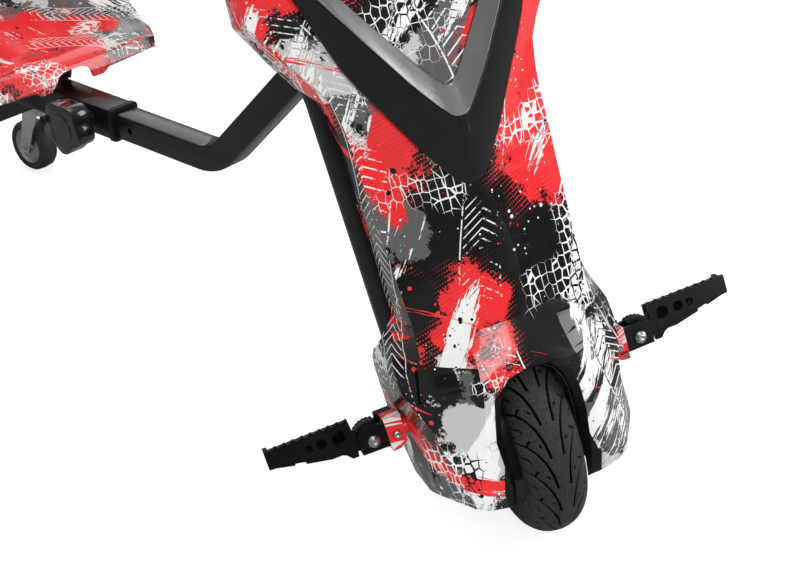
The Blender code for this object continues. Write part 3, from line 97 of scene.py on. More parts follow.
# %% A helper for node trees
class Nodes:
    """Adds nodes to one tree. An input may be a plain value or the output of another node."""

    def __init__(self, tree):
        self.tree = tree

    def add(self, kind, inputs=None, **settings):
        made = self.tree.nodes.new(kind)
        for name, value in settings.items():
            setattr(made, name, value)
        self.fill(made, inputs or {})
        return made

    def fill(self, made, inputs):
        for key, value in inputs.items():
            if isinstance(value, bpy.types.NodeSocket):
                self.tree.links.new(value, made.inputs[key])
            else:
                made.inputs[key].default_value = value

    def math(self, operation, *values):
        return self.add("ShaderNodeMath", dict(enumerate(values)), operation=operation).outputs[0]

    def times(self, first, second):
        return self.math("MULTIPLY", first, second)

    def plus(self, first, second):
        return self.math("ADD", first, second)

    def minus(self, first, second):
        return self.math("SUBTRACT", first, second)

    def vector(self, operation, *values):
        made = self.add("ShaderNodeVectorMath", dict(enumerate(values)), operation=operation)
        return made.outputs["Value"] if operation in ("LENGTH", "DISTANCE") else made.outputs["Vector"]

    def noise(self, point, scale, detail, rough, distortion=0.0):
        inputs = {"Vector": point, "Scale": scale, "Detail": detail, "Roughness": rough}
        return self.add("ShaderNodeTexNoise", {**inputs, "Distortion": distortion}).outputs["Fac"]

    def edge(self, value, threshold, softness=0.01):
        """0 below the threshold and 1 above it, with a narrow soft step between."""
        inputs = {"Value": value, "From Min": threshold, "From Max": threshold + softness}
        return self.add("ShaderNodeMapRange", inputs, interpolation_type="SMOOTHSTEP").outputs["Result"]

    def ramp(self, value, low, high, out_low, out_high):
        inputs = {"Value": value, "From Min": low, "From Max": high, "To Min": out_low, "To Max": out_high}
        return self.add("ShaderNodeMapRange", inputs).outputs["Result"]

    def mix(self, factor, first, second):
        """A mix of two colours. The node's sockets share names, and its colour ones are 6, 7 and output 2."""
        return self.add("ShaderNodeMix", {0: factor, 6: first, 7: second}, data_type="RGBA").outputs[2]

    def group(self, tree, inputs):
        """The only output of a node group that was built before."""
        return self.add("ShaderNodeGroup", inputs, node_tree=tree).outputs[0]

    def stored(self, name):
        """A value that the piece's mesh carries as an attribute."""
        made = self.add("ShaderNodeAttribute", attribute_name=name, attribute_type="GEOMETRY")
        return made.outputs["Fac"]

    def point(self, x, y, z=0.0):
        return self.add("ShaderNodeCombineXYZ", {"X": x, "Y": y, "Z": z}).outputs["Vector"]

    def split(self, vector):
        return self.add("ShaderNodeSeparateXYZ", {"Vector": vector}).outputs

    def surface(self, inputs):
        """A Principled surface, as the material's output."""
        made = self.add("ShaderNodeBsdfPrincipled", inputs)
        self.add("ShaderNodeOutputMaterial", {"Surface": made.outputs["BSDF"]})


def fresh_nodes(owner):
    """A helper for the emptied node tree of a new material or world."""
    owner.use_nodes = True
    owner.node_tree.nodes.clear()
    return Nodes(owner.node_tree)


def new_object(name, data):
    """An object in the scene that shows the data."""
    item = bpy.data.objects.new(name, data)
    bpy.context.scene.collection.objects.link(item)
    return item


def drawn_object(name, points, edges=(), faces=()):
    """An object drawn from its points."""
    mesh = bpy.data.meshes.new(name)
    mesh.from_pydata([tuple(point) for point in points], edges, faces)
    return new_object(name, mesh)


def mesh_of(bm, name):
    """The bmesh as a mesh. The bmesh is freed."""
    mesh = bpy.data.meshes.new(name)
    bm.to_mesh(mesh)
    bm.free()
    return mesh


def node_group(tree_kind, name, inputs, outputs):
    """An empty node group: (the group, a helper to fill it, its inputs, its output node)."""
    group = bpy.data.node_groups.new(name, tree_kind)
    for sockets, way in ((inputs, "INPUT"), (outputs, "OUTPUT")):
        for title, kind in sockets.items():
            group.interface.new_socket(title, in_out=way, socket_type="NodeSocket" + kind)
    nodes = Nodes(group)
    return group, nodes, nodes.add("NodeGroupInput").outputs, nodes.add("NodeGroupOutput")


print("node helper ready")

# %% [markdown]
# ## Shared surface effects
#
# No real surface is one even value. Moulded plastic and powder coat have a
# fine orange-peel skin, and every part is handled, so its gloss varies a
# little from place to place. Both effects are used by many finishes, so each
# is a node group that is built once. `fine_skin` gives a height for a Bump
# node, and `handling` gives a soft mask that shifts roughness and colour.

# %% Shared shader groups
fine_skin, n, given, out = node_group(
    "ShaderNodeTree", "fine_skin", {"Point": "Vector", "Scale": "Float", "Pits": "Float"}, {"Height": "Float"}
)
waves = n.noise(given["Point"], given["Scale"], 2.0, 0.5)
cells = n.add("ShaderNodeTexVoronoi", {"Vector": given["Point"], "Scale": given["Scale"]})
pits = n.times(cells.outputs["Distance"], given["Pits"])
n.fill(out, {"Height": n.plus(waves, pits)})

handling, n, given, out = node_group(
    "ShaderNodeTree", "handling", {"Point": "Vector", "Scale": "Float", "Streaks": "Float"}, {"Mask": "Float"}
)
clouds = n.noise(given["Point"], given["Scale"], 5.0, 0.6)
stretched = n.vector("MULTIPLY", given["Point"], (1.0, 0.12, 1.0))
streaks = n.noise(stretched, n.times(given["Scale"], 14.0), 3.0, 0.6)
mixed = n.math("MULTIPLY_ADD", n.minus(streaks, 0.5), given["Streaks"], clouds)
n.fill(out, {"Mask": n.edge(mixed, 0.35, 0.35)})
print("groups:", fine_skin.name, handling.name)

# %% [markdown]
# ## Plain finishes
#
# Most parts have one base colour with a skin and some handling. One function
# makes such a material from a few values, and each finish is one call. The
# base colours are the ones that the parts have under plain white light.


# %% A maker for plain finishes
def skin_bump(nodes, here, scale, pits, strength):
    """The normal of a fine skin."""
    height = nodes.group(fine_skin, {"Point": here, "Scale": scale, "Pits": pits})
    bump = {"Height": height, "Strength": strength, "Distance": 1 * MM}
    return nodes.add("ShaderNodeBump", bump).outputs["Normal"]


def worn_places(nodes, here, scale, streaks):
    """The soft mask of handling."""
    return nodes.group(handling, {"Point": here, "Scale": scale, "Streaks": streaks})


HANDLED = (14.0, 0.3)


def tint(colour):
    """A colour for a socket, from three values or from one value for a grey."""
    return (*colour, 1.0) if isinstance(colour, tuple) else (colour, colour, colour, 1.0)


def finish(
    name, colour, worn_colour, roughness, metallic=0.0, skin=(600.0, 0.3, 0.05), wear=HANDLED, coat=0.0,
    shine=0.5, painted_shade=None,
):
    """A Principled material with a bumpy skin. Worn places take worn_colour and the second roughness.

    skin is (scale, pits, strength) and wear is (scale, streaks). painted_shade names an attribute of the
    piece: where it is over a half, the surface is painted black as shade, at every angle.
    """
    material = bpy.data.materials.new(name)
    nodes = fresh_nodes(material)
    here = nodes.add("ShaderNodeTexCoord").outputs["Object"]
    mask = worn_places(nodes, here, *wear)
    base = nodes.mix(mask, tint(colour), tint(worn_colour))
    # Painted shade: where the attribute is high, the colour goes black and the surface mirrors nothing.
    if painted_shade:
        shaded = nodes.edge(nodes.stored(painted_shade), 0.42, 0.14)
        base = nodes.mix(shaded, base, tint(0.001))
        metallic = shaded  # a black metal mirrors nothing, which keeps the groove black at every angle
    nodes.surface({
        "Base Color": base,
        "Roughness": nodes.ramp(mask, 0.0, 1.0, *roughness),
        "Metallic": metallic,
        "Normal": skin_bump(nodes, here, *skin),
        "Specular IOR Level": shine,
        "Coat Weight": coat,
        "Coat Roughness": 0.12,
    })
    return material


# %% The plain finishes
POWDER_COAT = finish("powder_coat", 0.004, 0.007, (0.18, 0.26), skin=(1000.0, 0.5, 0.04))
PEG_COAT = finish("peg_coat", 0.003, 0.005, (0.22, 0.32), skin=(1400.0, 0.4, 0.04), shine=0.2)
SATIN_TRIM = finish("satin_trim", 0.003, 0.005, (0.16, 0.24), skin=(900.0, 0.3, 0.03), coat=0.25, shine=0.3)
MOULDED_BLACK = finish("moulded_black", 0.006, 0.01, (0.42, 0.55), skin=(1300.0, 0.8, 0.2), shine=0.25)
GLOSSY_BLACK = finish("glossy_black", 0.005, 0.008, (0.1, 0.16), skin=(300.0, 0.2, 0.03), coat=0.6)
# The tyre's grooves are painted black as shade, from the groove attribute of the tread.
TYRE_RUBBER = finish(
    "tyre_rubber", 0.012, (0.036, 0.035, 0.034), (0.36, 0.5), skin=(1500.0, 0.9, 0.45), wear=(420.0, 0.4),
    shine=0.34, painted_shade="groove",
)
GRIP_RUBBER = finish("grip_rubber", 0.014, 0.022, (0.7, 0.85), skin=(1500.0, 0.9, 0.3), shine=0.25)
TREAD_RUBBER = finish(
    "caster_rubber", (0.014, 0.014, 0.015), (0.03, 0.03, 0.029), (0.42, 0.6), wear=(40.0, 0.5), shine=0.3
)
ZINC = finish(
    "zinc_plate", (0.62, 0.63, 0.66), 0.5, (0.22, 0.36), 1.0, skin=(420.0, 0.5, 0.1), wear=(40.0, 0.8)
)
CAST_ALLOY = finish(
    "cast_alloy", (0.52, 0.52, 0.54), (0.42, 0.42, 0.43), (0.38, 0.5), 1.0, skin=(700.0, 0.9, 0.2)
)
MOTOR_PAINT = finish("motor_paint", 0.012, 0.02, (0.32, 0.42), skin=(800.0, 0.6, 0.12), shine=0.35)
SILVER_PAINT = finish(
    "silver_paint", (0.34, 0.34, 0.35), (0.3, 0.3, 0.31), (0.16, 0.22), 0.85, skin=(1800.0, 0.4, 0.03),
    coat=0.5,
)
SCREEN = finish(
    "screen_glass", (0.01, 0.012, 0.014), (0.014, 0.016, 0.018), (0.05, 0.1), skin=(60.0, 0.0, 0.01), coat=1.0
)
print("plain finishes ready")

# %% [markdown]
# ## The printed shell
#
# The fairing, the seat and the peg brackets are water-printed: a film with a
# street-style pattern of red, black, white and grey is floated on water, the
# part is dipped through it, and a clear coat goes on top. This scooter gets
# a pattern of its own in those colours. It is built in layers, as such a
# film is drawn: torn patches of grey and red on black, dry brush strokes in
# white, halftone dots that shrink away from the edge of the red, rows of
# chevrons, a stretched net, and a last shower of paint drops.
#
# Patches, net and drops read the point in space, so they run round every
# corner with no seam. Dots and chevrons are flat motifs, so they read two
# lengths over the surface: how far round the shell, and how far up it. An
# attribute marks the side panels, which the pattern keeps mostly black.

# %% The artwork group
BLACK = (0.003, 0.003, 0.0033, 1.0)
RED = (0.78, 0.022, 0.026, 1.0)
DEEP_RED = (0.5, 0.012, 0.016, 1.0)
WHITE = (0.8, 0.8, 0.79, 1.0)
PALE_GREY = (0.5, 0.5, 0.49, 1.0)
DARK_GREY = (0.1, 0.1, 0.1, 1.0)

amounts = dict.fromkeys(("Round", "Up", "More red", "More white", "More grey", "Side panel"), "Float")
artwork, n, given, out = node_group(
    "ShaderNodeTree", "printed_artwork", {"Point": "Vector", **amounts}, {"Colour": "Color"}
)
here, around, height = given["Point"], given["Round"], given["Up"]
ragged = n.minus(n.noise(here, 210.0, 5.0, 0.75), 0.5)
torn = n.minus(n.noise(here, 42.0, 6.0, 0.7), 0.5)
fray = n.math("MULTIPLY_ADD", ragged, 0.16, n.times(torn, 0.22))


def patches(offset, scale, bias, threshold):
    """A torn patch field: (its mask, its undisturbed height)."""
    field = n.noise(n.vector("ADD", here, offset), scale, 3.0, 0.5, 0.6)
    field = n.plus(field, bias)
    return n.edge(n.plus(field, fray), threshold, 0.006), field


def turned_lengths(angle, unit=1.0):
    """The two lengths over the surface along axes turned by an angle, counted in a unit."""
    cosine = math.cos(angle) / unit
    sine = math.sin(angle) / unit
    first = n.math("MULTIPLY_ADD", around, cosine, n.times(height, sine))
    second = n.math("MULTIPLY_ADD", around, -sine, n.times(height, cosine))
    return first, second


def stroke_field(angle, across, along, offset):
    """Noise drawn out along one direction of the surface, like the path of a brush."""
    first, second = turned_lengths(angle)
    wide_point = n.point(n.times(first, across), n.times(second, along), offset)
    bristle_point = n.point(n.times(first, 420.0), n.times(second, 22.0), offset)
    bristles = n.minus(n.noise(bristle_point, 1.0, 3.0, 0.7), 0.5)
    return n.math("MULTIPLY_ADD", bristles, 0.34, n.noise(wide_point, 1.0, 2.0, 0.4, 0.5))


def cell_distance(pitch, turn):
    """Distance to the nearest centre of a triangular lattice, in units of the pitch."""
    place = n.point(*turned_lengths(turn, pitch))
    high = (0.5, math.sqrt(3) / 2, 1.0)
    low = (-0.5, -math.sqrt(3) / 2, -1.0)
    even = n.vector("LENGTH", n.vector("WRAP", place, high, low))
    odd = n.vector("LENGTH", n.vector("WRAP", n.vector("ADD", place, high), high, low))
    return n.math("MINIMUM", even, odd)


# %% The artwork group, layer by layer
RED_EDGE = 0.575
DOT_PITCH = 2.4 * MM
DOT_TURN = math.radians(20)
BRUSH_TURN = math.radians(-28)
SLASH_TURN = math.radians(52)
side_panel = given["Side panel"]
grey_bias = n.math("MULTIPLY_ADD", side_panel, -0.1, given["More grey"])
red_bias = n.math("MULTIPLY_ADD", side_panel, -0.12, given["More red"])
white_bias = n.math("MULTIPLY_ADD", side_panel, -0.16, given["More white"])
grey_mask, _ = patches((3.1, 0.4, 1.7), 7.5, grey_bias, 0.53)
pale_mask, _ = patches((0.2, 5.3, 2.2), 11.0, grey_bias, 0.53)
colour = n.mix(grey_mask, BLACK, DARK_GREY)
colour = n.mix(n.times(grey_mask, pale_mask), colour, PALE_GREY)

red_mask, red_field = patches((7.7, 2.9, 4.1), 6.5, red_bias, RED_EDGE)
dots = cell_distance(DOT_PITCH, DOT_TURN)
dot_size = n.ramp(red_field, RED_EDGE - 0.03, RED_EDGE + 0.13, 0.46, 0.0)
dotted = n.minus(dot_size, dots)
colour = n.mix(red_mask, colour, RED)
colour = n.mix(n.times(red_mask, n.edge(dotted, 0.0, 0.06)), colour, DEEP_RED)
halo = n.times(n.edge(red_field, RED_EDGE - 0.06, 0.02), n.minus(1.0, red_mask))
halo_size = n.ramp(red_field, RED_EDGE - 0.06, RED_EDGE + 0.01, 0.08, 0.42)
halo_dots = n.edge(n.minus(halo_size, dots), 0.0, 0.06)
colour = n.mix(n.times(halo, halo_dots), colour, RED)

strokes = n.plus(stroke_field(BRUSH_TURN, 30.0, 5.5, 3.7), white_bias)
stroke_mask = n.edge(n.plus(strokes, n.times(torn, 0.2)), 0.61, 0.01)
colour = n.mix(stroke_mask, colour, WHITE)
slashes = n.edge(stroke_field(SLASH_TURN, 46.0, 4.0, 9.2), 0.665, 0.01)
colour = n.mix(slashes, colour, RED)

# %% The artwork group, motifs and drops
LINE_EDGE = 0.3 * MM
LANE_SWING = 22 * MM
HALF_LANE_PITCH = 46 * MM
HALF_LANE = 15 * MM
RAIL_PLACE = 17 * MM
HALF_RAIL = 0.7 * MM
HALF_ROW_PITCH = 4.5 * MM
HALF_CHEVRON = 0.9 * MM
lane = n.math("SINE", n.times(height, 13.0))
lane_offset = n.math("MULTIPLY_ADD", lane, LANE_SWING, around)
lane_distance = n.math("ABSOLUTE", n.math("WRAP", lane_offset, HALF_LANE_PITCH, -HALF_LANE_PITCH))
row_height = n.math("MULTIPLY_ADD", lane_distance, 0.9, height)
row = n.math("ABSOLUTE", n.math("WRAP", row_height, HALF_ROW_PITCH, -HALF_ROW_PITCH))
chevrons = n.edge(n.minus(HALF_CHEVRON, row), 0.0, LINE_EDGE)
in_lane = n.edge(n.minus(HALF_LANE, lane_distance), 0.0, 0.5 * MM)
off_rail = n.math("ABSOLUTE", n.minus(lane_distance, RAIL_PLACE))
rail = n.edge(n.minus(HALF_RAIL, off_rail), 0.0, LINE_EDGE)
lane_lines = n.math("MAXIMUM", n.times(chevrons, in_lane), rail)
wear = n.plus(n.noise(here, 9.0, 3.0, 0.6), n.times(ragged, 0.5))
worn_away = n.edge(wear, 0.5, 0.02)
lane_mask = n.times(lane_lines, worn_away)
line_colour = n.mix(stroke_mask, WHITE, BLACK)
colour = n.mix(lane_mask, colour, line_colour)

net_point = n.vector("ADD", here, n.vector("MULTIPLY", here, (0.25, 0.0, -0.2)))
net_inputs = {"Vector": net_point, "Scale": 105.0, "Randomness": 0.45}
net = n.add("ShaderNodeTexVoronoi", net_inputs, feature="DISTANCE_TO_EDGE").outputs["Distance"]
net_area = n.noise(n.vector("ADD", here, (1.3, 8.1, 6.4)), 8.0, 2.0, 0.5)
net_width = n.ramp(net_area, 0.54, 0.68, -0.02, 0.17)
net_mask = n.edge(n.minus(net_width, net), 0.0, 0.02)
colour = n.mix(net_mask, colour, line_colour)


def paint_drops(scale, threshold, offset):
    """Round drops of very different sizes, in showers."""
    place = n.vector("ADD", here, offset)
    drops = n.add("ShaderNodeTexVoronoi", {"Vector": place, "Scale": scale})
    chance = n.split(drops.outputs["Color"])[0]
    shower = n.ramp(n.noise(place, 12.0, 3.0, 0.6), 0.42, 0.7, 0.0, 0.5)
    size = n.times(n.math("POWER", chance, 3.0), shower)
    return n.edge(n.minus(size, drops.outputs["Distance"]), threshold, 0.02)


colour = n.mix(paint_drops(170.0, 0.0, (5.5, 1.2, 0.3)), colour, line_colour)
colour = n.mix(paint_drops(110.0, 0.02, (2.5, 7.2, 3.3)), colour, n.mix(red_mask, RED, BLACK))
n.fill(out, {"Colour": colour})
print("artwork nodes:", len(artwork.nodes))

# %% [markdown]
# The shell material lays the group on a part. Soft spots say where the
# pattern has more red, white or grey, so that the colours are spread over
# the part on purpose and not by chance. The clear coat is a real coat layer
# over the ink, so highlights stay white over every colour.


# %% A maker for printed parts
def printed(name, placing, round_and_up, spots):
    """A printed finish. placing is (location, rotation) of the pattern's own frame.

    round_and_up gives the two lengths over the surface. A spot is (centre, reach, red, white, grey).
    """
    material = bpy.data.materials.new(name)
    nodes = fresh_nodes(material)
    here = nodes.add("ShaderNodeTexCoord").outputs["Object"]
    frame_inputs = {"Vector": here, "Location": placing[0], "Rotation": placing[1]}
    placed = nodes.add("ShaderNodeMapping", frame_inputs, vector_type="TEXTURE").outputs["Vector"]
    totals = {"More red": 0.0, "More white": 0.0, "More grey": 0.0}
    for centre, reach, *amounts in spots:
        near = nodes.ramp(nodes.vector("DISTANCE", placed, centre), 0.0, reach, 1.0, 0.0)
        for title, amount in zip(list(totals), amounts):
            if amount:
                totals[title] = nodes.math("MULTIPLY_ADD", near, amount, totals[title])
    around, up = round_and_up(nodes, *nodes.split(placed))
    marks = {"Point": placed, "Round": around, "Up": up, "Side panel": nodes.stored("side_panel")}
    nodes.surface({
        "Base Color": nodes.group(artwork, {**marks, **totals}),
        "Roughness": nodes.ramp(worn_places(nodes, here, *HANDLED), 0.0, 1.0, 0.2, 0.3),
        "Normal": skin_bump(nodes, here, 260.0, 0.1, 0.03),
        "Specular IOR Level": 0.3,
        "Coat Weight": 0.45,
        "Coat Roughness": 0.07,
    })
    return material


AXIS_BEHIND = 30 * MM
SHELL_REACH = 110 * MM


def round_the_fork(nodes, x, y, z):
    """Distance round an upright axis behind the shell's front, and height along the fork."""
    angle = nodes.math("ARCTAN2", x, nodes.minus(AXIS_BEHIND, y))
    return nodes.times(angle, SHELL_REACH), z


def flat_from_above(nodes, x, y, z):
    return x, y


ON_STEERING = (tuple(steering.translation), tuple(steering.to_euler()))
PRINTED_SHELL = printed(
    "printed_shell",
    ON_STEERING,
    round_the_fork,
    [
        ((-0.13, -0.02, 0.48), 0.16, 0.05, 0.08, 0.0),
        ((0.09, -0.07, 0.34), 0.18, 0.22, -0.06, -0.04),
        ((-0.09, -0.06, 0.3), 0.1, 0.12, -0.04, 0.0),
        ((0.0, -0.11, 0.25), 0.13, -0.16, -0.16, -0.16),
        ((-0.035, -0.13, 0.14), 0.07, 0.24, -0.06, 0.0),
        ((-0.09, -0.08, 0.08), 0.075, -0.26, -0.04, 0.24),
        ((-0.07, -0.09, -0.01), 0.09, -0.16, 0.14, 0.26),
        ((0.1, -0.1, 0.0), 0.11, -0.24, 0.24, 0.02),
        ((0.09, -0.1, 0.13), 0.1, -0.2, 0.07, -0.14),
    ],
)
PRINTED_SEAT = printed(
    "printed_seat",
    ((0.0, 0.26, 0.35), (0.0, 0.0, 0.6)),
    flat_from_above,
    [((0.0, 0.0, 0.0), 0.5, 0.04, -0.02, 0.04), ((-0.02, -0.06, 0.02), 0.2, 0.16, -0.05, 0.0)],
)
PRINTED_BRACKET = printed(
    "printed_bracket",
    ON_STEERING,
    round_the_fork,
    [((-0.13, 0.0, 0.036), 0.06, 0.1, 0.1, 0.0), ((0.13, 0.0, 0.036), 0.06, 0.2, 0.05, 0.0)],
)
print("printed parts share", artwork.name)

# %% [markdown]
# ## Smooth copies of the solids
#
# The solids come as loose flat triangles. On the real parts the curves are
# smooth and the edges are softly rounded, so each solid gets a finished
# copy: vertices are merged, flat areas are joined into single faces, edges
# sharper than a given angle stay crisp, and where the real part has a
# visible rounding a small Bevel goes on.


# %% A maker for finished copies
SAME_PLACE = 0.02 * MM
FLAT = math.radians(0.6)
CREASE = 32.0


def plain_mesh(item):
    """The item with its modifiers applied."""
    bpy.context.view_layer.update()
    evaluated = item.evaluated_get(bpy.context.evaluated_depsgraph_get())
    mesh = bpy.data.meshes.new_from_object(evaluated)
    item.modifiers.clear()
    item.data = mesh
    return item


def shade(item, degrees):
    """Smooth faces, with a crisp edge wherever two faces meet more sharply than the angle."""
    bm = bmesh.new()
    bm.from_mesh(item.data)
    for face in bm.faces:
        face.smooth = True
    for edge in bm.edges:
        edge.smooth = edge.is_manifold and edge.calc_face_angle(0.0) < math.radians(degrees)
    bm.to_mesh(item.data)
    bm.free()
    return item


def dress(item, material, degrees=None):
    """The item in one material, and shaded if an angle is given."""
    if degrees:
        shade(item, degrees)
    item.data.materials.clear()
    item.data.materials.append(material)
    for polygon in item.data.polygons:
        polygon.material_index = 0


def finished_copy(name, material, rounding, degrees):
    """Replaces a solid by a smooth copy that rides where the solid did."""
    copy = new_object(name + ".finished", frame["nodes"][name].data.copy())
    bm = bmesh.new()
    bm.from_mesh(copy.data)
    bmesh.ops.remove_doubles(bm, verts=bm.verts, dist=SAME_PLACE)
    bmesh.ops.dissolve_degenerate(bm, edges=bm.edges, dist=SAME_PLACE)
    bmesh.ops.dissolve_limit(bm, angle_limit=FLAT, verts=bm.verts, edges=bm.edges)
    bm.to_mesh(copy.data)
    bm.free()
    if rounding:
        bevel = copy.modifiers.new("rounding", "BEVEL")
        bevel.width = rounding
        bevel.segments = 2
        bevel.limit_method = "ANGLE"
        bevel.angle_limit = math.radians(40)
        plain_mesh(copy)
    dress(copy, material, degrees)
    return settle(copy, name)


def attach(item, body):
    """The item rides on the body."""
    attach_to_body(item, body)


def settle(item, name):
    """The item stands for a solid, which is hidden, and rides on its body."""
    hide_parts(name)
    attach(item, body_of_node[name])
    return item


FINISHES = {
    "printed_plastic": PRINTED_SHELL,
    "satin_black_plastic": SATIN_TRIM,
    "silver_trim": SILVER_PAINT,
    "black_coated_steel": POWDER_COAT,
    "bare_alloy": CAST_ALLOY,
    "zinc_steel": ZINC,
    "black_plastic": MOULDED_BLACK,
    "caster_tread": TREAD_RUBBER,
    "screen_glass": SCREEN,
}
ROUNDING = {"satin_black_plastic": 0.7 * MM, "silver_trim": 0.3 * MM}
OWN_FINISH = {"seat_shell": PRINTED_SEAT, "clamp_knob": GLOSSY_BLACK, "hub_motor": MOTOR_PAINT}
OWN_CREASE = {"front_cover": 11.0, "seat_shell": 40.0}
for side in ("left", "right"):
    OWN_FINISH["peg_bracket_" + side] = PRINTED_BRACKET
    OWN_FINISH["peg_clevis_" + side] = PEG_COAT
    OWN_FINISH["peg_" + side] = PEG_COAT
    OWN_CREASE["peg_bracket_" + side] = 25.0
MADE_ANEW = {"front_tyre", "grip_left", "grip_right"}
finished = {}
for node_name in sorted(frame["nodes"]):
    if node_name in MADE_ANEW:
        continue
    slot = slot_of_node[node_name]
    material = OWN_FINISH.get(node_name, FINISHES[slot])
    crease = OWN_CREASE.get(node_name, CREASE)
    finished[node_name] = finished_copy(node_name, material, ROUNDING.get(slot), crease)
print("finished copies:", len(finished))

# %% [markdown]
# The fairing is printed on its outer face only: its inside, and the narrow
# flange of each boot beside the tyre, are plain black. Each face is sorted by
# its place and the way it looks, measured along the steering's axes. The same
# pass marks the side panels, which fall along the folds of the shell.
# The pattern isn't the same on both sides: the left boot has no dark panel.

# %% Sort the fairing's faces
BOOT_TOP = 130
BOOT_CORE = Vector((60, -20))
FLANGE_TOP = 150
FLANGE_REACH = 56
BOOT_PANEL_TOP = 126
FLANK_TOP = 390
cover_mesh = finished["front_cover"].data
cover_mesh.materials.append(MOULDED_BLACK)
side_panel = cover_mesh.attributes.new("side_panel", "FLOAT", "FACE")
to_steering = steering.inverted()
black_faces = 0
for polygon in cover_mesh.polygons:
    place = to_steering @ polygon.center / MM
    facing = to_steering.to_3x3() @ polygon.normal
    side = 1 if place.x > 0 else -1
    inside = Vector((BOOT_CORE.x * side, BOOT_CORE.y)) if place.z < BOOT_TOP else Vector((0, 0))
    looks_in = (place.xy - inside).dot(facing.xy) < 0
    at_flange = place.z < FLANGE_TOP and abs(place.x) < FLANGE_REACH and facing.x * side < -0.25
    if looks_in or at_flange:
        polygon.material_index = 1
        black_faces += 1
    across = abs(facing.x)
    if place.z < BOOT_PANEL_TOP and across > 0.5 and side < 0:
        side_panel.data[polygon.index].value = 1.0 if across < 0.94 else 0.45
    elif place.z < FLANK_TOP and across > 0.8:
        side_panel.data[polygon.index].value = 0.6
print("black faces of the fairing:", black_faces)

# %% [markdown]
# ## The front tyre
#
# A road tyre of this size has a directional tread: long grooves sweep from
# each shoulder and end in pairs beside the centre line, with a short notch
# on each and small cuts at the shoulder between them. The same block repeats
# twenty-two times round the tyre, so one block is modelled and Geometry Nodes
# lays it round the axle.
#
# The block is a fine grid over one twenty-second of the tyre. Each point is
# pushed in by the depth of the nearest groove, which gives real walls that
# catch the light and a broken outline at the edge of the tyre. How near the
# point is to a groove's edge is stored too, and the rubber's material paints
# the groove black from it as painted shade, with a sharp edge finer than the
# grid.

# %% The tread of one block
BLOCKS = 22
TYRE_RADIUS = 127.0
PITCH = 2 * math.pi * TYRE_RADIUS / BLOCKS
TYRE_SECTION = [
    (126.9, 0.0), (126.0, 8.1), (122.9, 16.9), (116.6, 25.0), (108.5, 30.9), (100.0, 32.4), (91.0, 30.2),
    (83.6, 23.0),
]
SIDE_GROOVES = [
    ([(46, -0.06), (38, 0.0), (29, 0.13), (21, 0.36), (14, 0.7), (9.5, 1.12), (7, 1.6)], 1.0, 2.8),
    ([(29, 0.13), (25.5, 0.0), (23.5, -0.02)], 0.9, 2.2),
    ([(47, 0.42), (38, 0.5), (32, 0.55), (29.5, 0.68)], 0.8, 2.0),
    ([(48, 0.72), (40, 0.78)], 0.7, 1.6),
    ([(15, 0.16), (13.6, 0.22)], 0.9, 2.0),
]


def smooth_section(points, steps):
    """Points on a smooth curve through the given ones, with a step count for each stretch."""
    ends = [points[0]] + points + [points[-1]]
    made = []
    for index, count in enumerate(steps):
        before, start, end, after = (Vector(point) for point in ends[index:index + 4])
        pull = end - before
        bend = 2 * before - 5 * start + 4 * end - after
        twist = 3 * start - before - 3 * end + after
        for step in range(count):
            share = step / count
            made.append(0.5 * (2 * start + pull * share + bend * share * share + twist * share ** 3))
    made.append(Vector(points[-1]))
    return made


def distance_to_path(point, path):
    """Shortest distance from a flat point to a chain of straight pieces."""
    best = 1e9
    for start, end in zip(path, path[1:]):
        along = end - start
        share = max(0.0, min(1.0, (point - start).dot(along) / max(along.length_squared, 1e-9)))
        best = min(best, (point - start - along * share).length)
    return best


groove_paths = []
for stations, half_width, depth in SIDE_GROOVES:
    for turn in (-2, -1, 0, 1):
        path = [Vector((side, (share + turn) * PITCH)) for side, share in stations]
        groove_paths.append((path, half_width, depth))
print("block length:", round(PITCH, 1), "mm, grooves per side:", len(SIDE_GROOVES))


# %% Build the block
ROWS = 36
TREAD_REACH = 52.0
WALL_SLOPE = 1.5
EDGE_BLEND = 2.4
BEAD = [(82.2, 12.0), (82.2, -12.0)]


def groove_here(side, along):
    """How far the rubber is cut away in millimetres, and a value that passes a half at a groove's edge."""
    point = Vector((abs(side), along))
    depth = 0.0
    inside = 0.0
    for path, half_width, full in groove_paths:
        past_edge = half_width - distance_to_path(point, path)
        wall = max(0.0, min(1.0, 0.5 + past_edge / WALL_SLOPE))
        depth = max(depth, full * wall * wall * (3 - 2 * wall))
        inside = max(inside, min(1.0, 0.5 + past_edge / EDGE_BLEND))
    return depth, inside


half_section = smooth_section(TYRE_SECTION, (9, 9, 9, 8, 6, 3, 3))
side_length = [0.0]
for first, second in zip(half_section, half_section[1:]):
    side_length.append(side_length[-1] + (second - first).length)
tread = list(zip(half_section, side_length))
columns = [(Vector((point.x, -point.y)), -reach) for point, reach in tread[:0:-1]] + tread
columns += [(Vector(point), None) for point in BEAD]

block = bmesh.new()
# The groove attribute tells the rubber's material where to paint shade into the grooves.
groove_layer = block.verts.layers.float.new("groove")
grid = []
for row in range(ROWS + 1):
    angle = 2 * math.pi / BLOCKS * row / ROWS
    line = []
    for index, (point, reach) in enumerate(columns):
        radius, width = point
        inside = 0.0
        if reach is not None and abs(reach) < TREAD_REACH:
            before = columns[max(index - 1, 0)][0]
            after = columns[min(index + 1, len(columns) - 3)][0]
            slope = (after - before).normalized()
            cut, inside = groove_here(reach, row / ROWS * PITCH)
            radius -= cut * abs(slope.y)
            width += cut * slope.x
        place = Vector((width, -math.sin(angle) * radius, math.cos(angle) * radius)) * MM
        corner = block.verts.new(steering @ place)
        corner[groove_layer] = inside
        line.append(corner)
    grid.append(line)
for near, far in zip(grid, grid[1:]):
    count = len(near)
    for index in range(count):
        other = (index + 1) % count
        block.faces.new((near[index], far[index], far[other], near[other]))
bmesh.ops.recalc_face_normals(block, faces=block.faces)
tread_block = new_object("front_tyre.treaded", mesh_of(block, "tread_block"))
print("faces in one block:", len(tread_block.data.polygons))


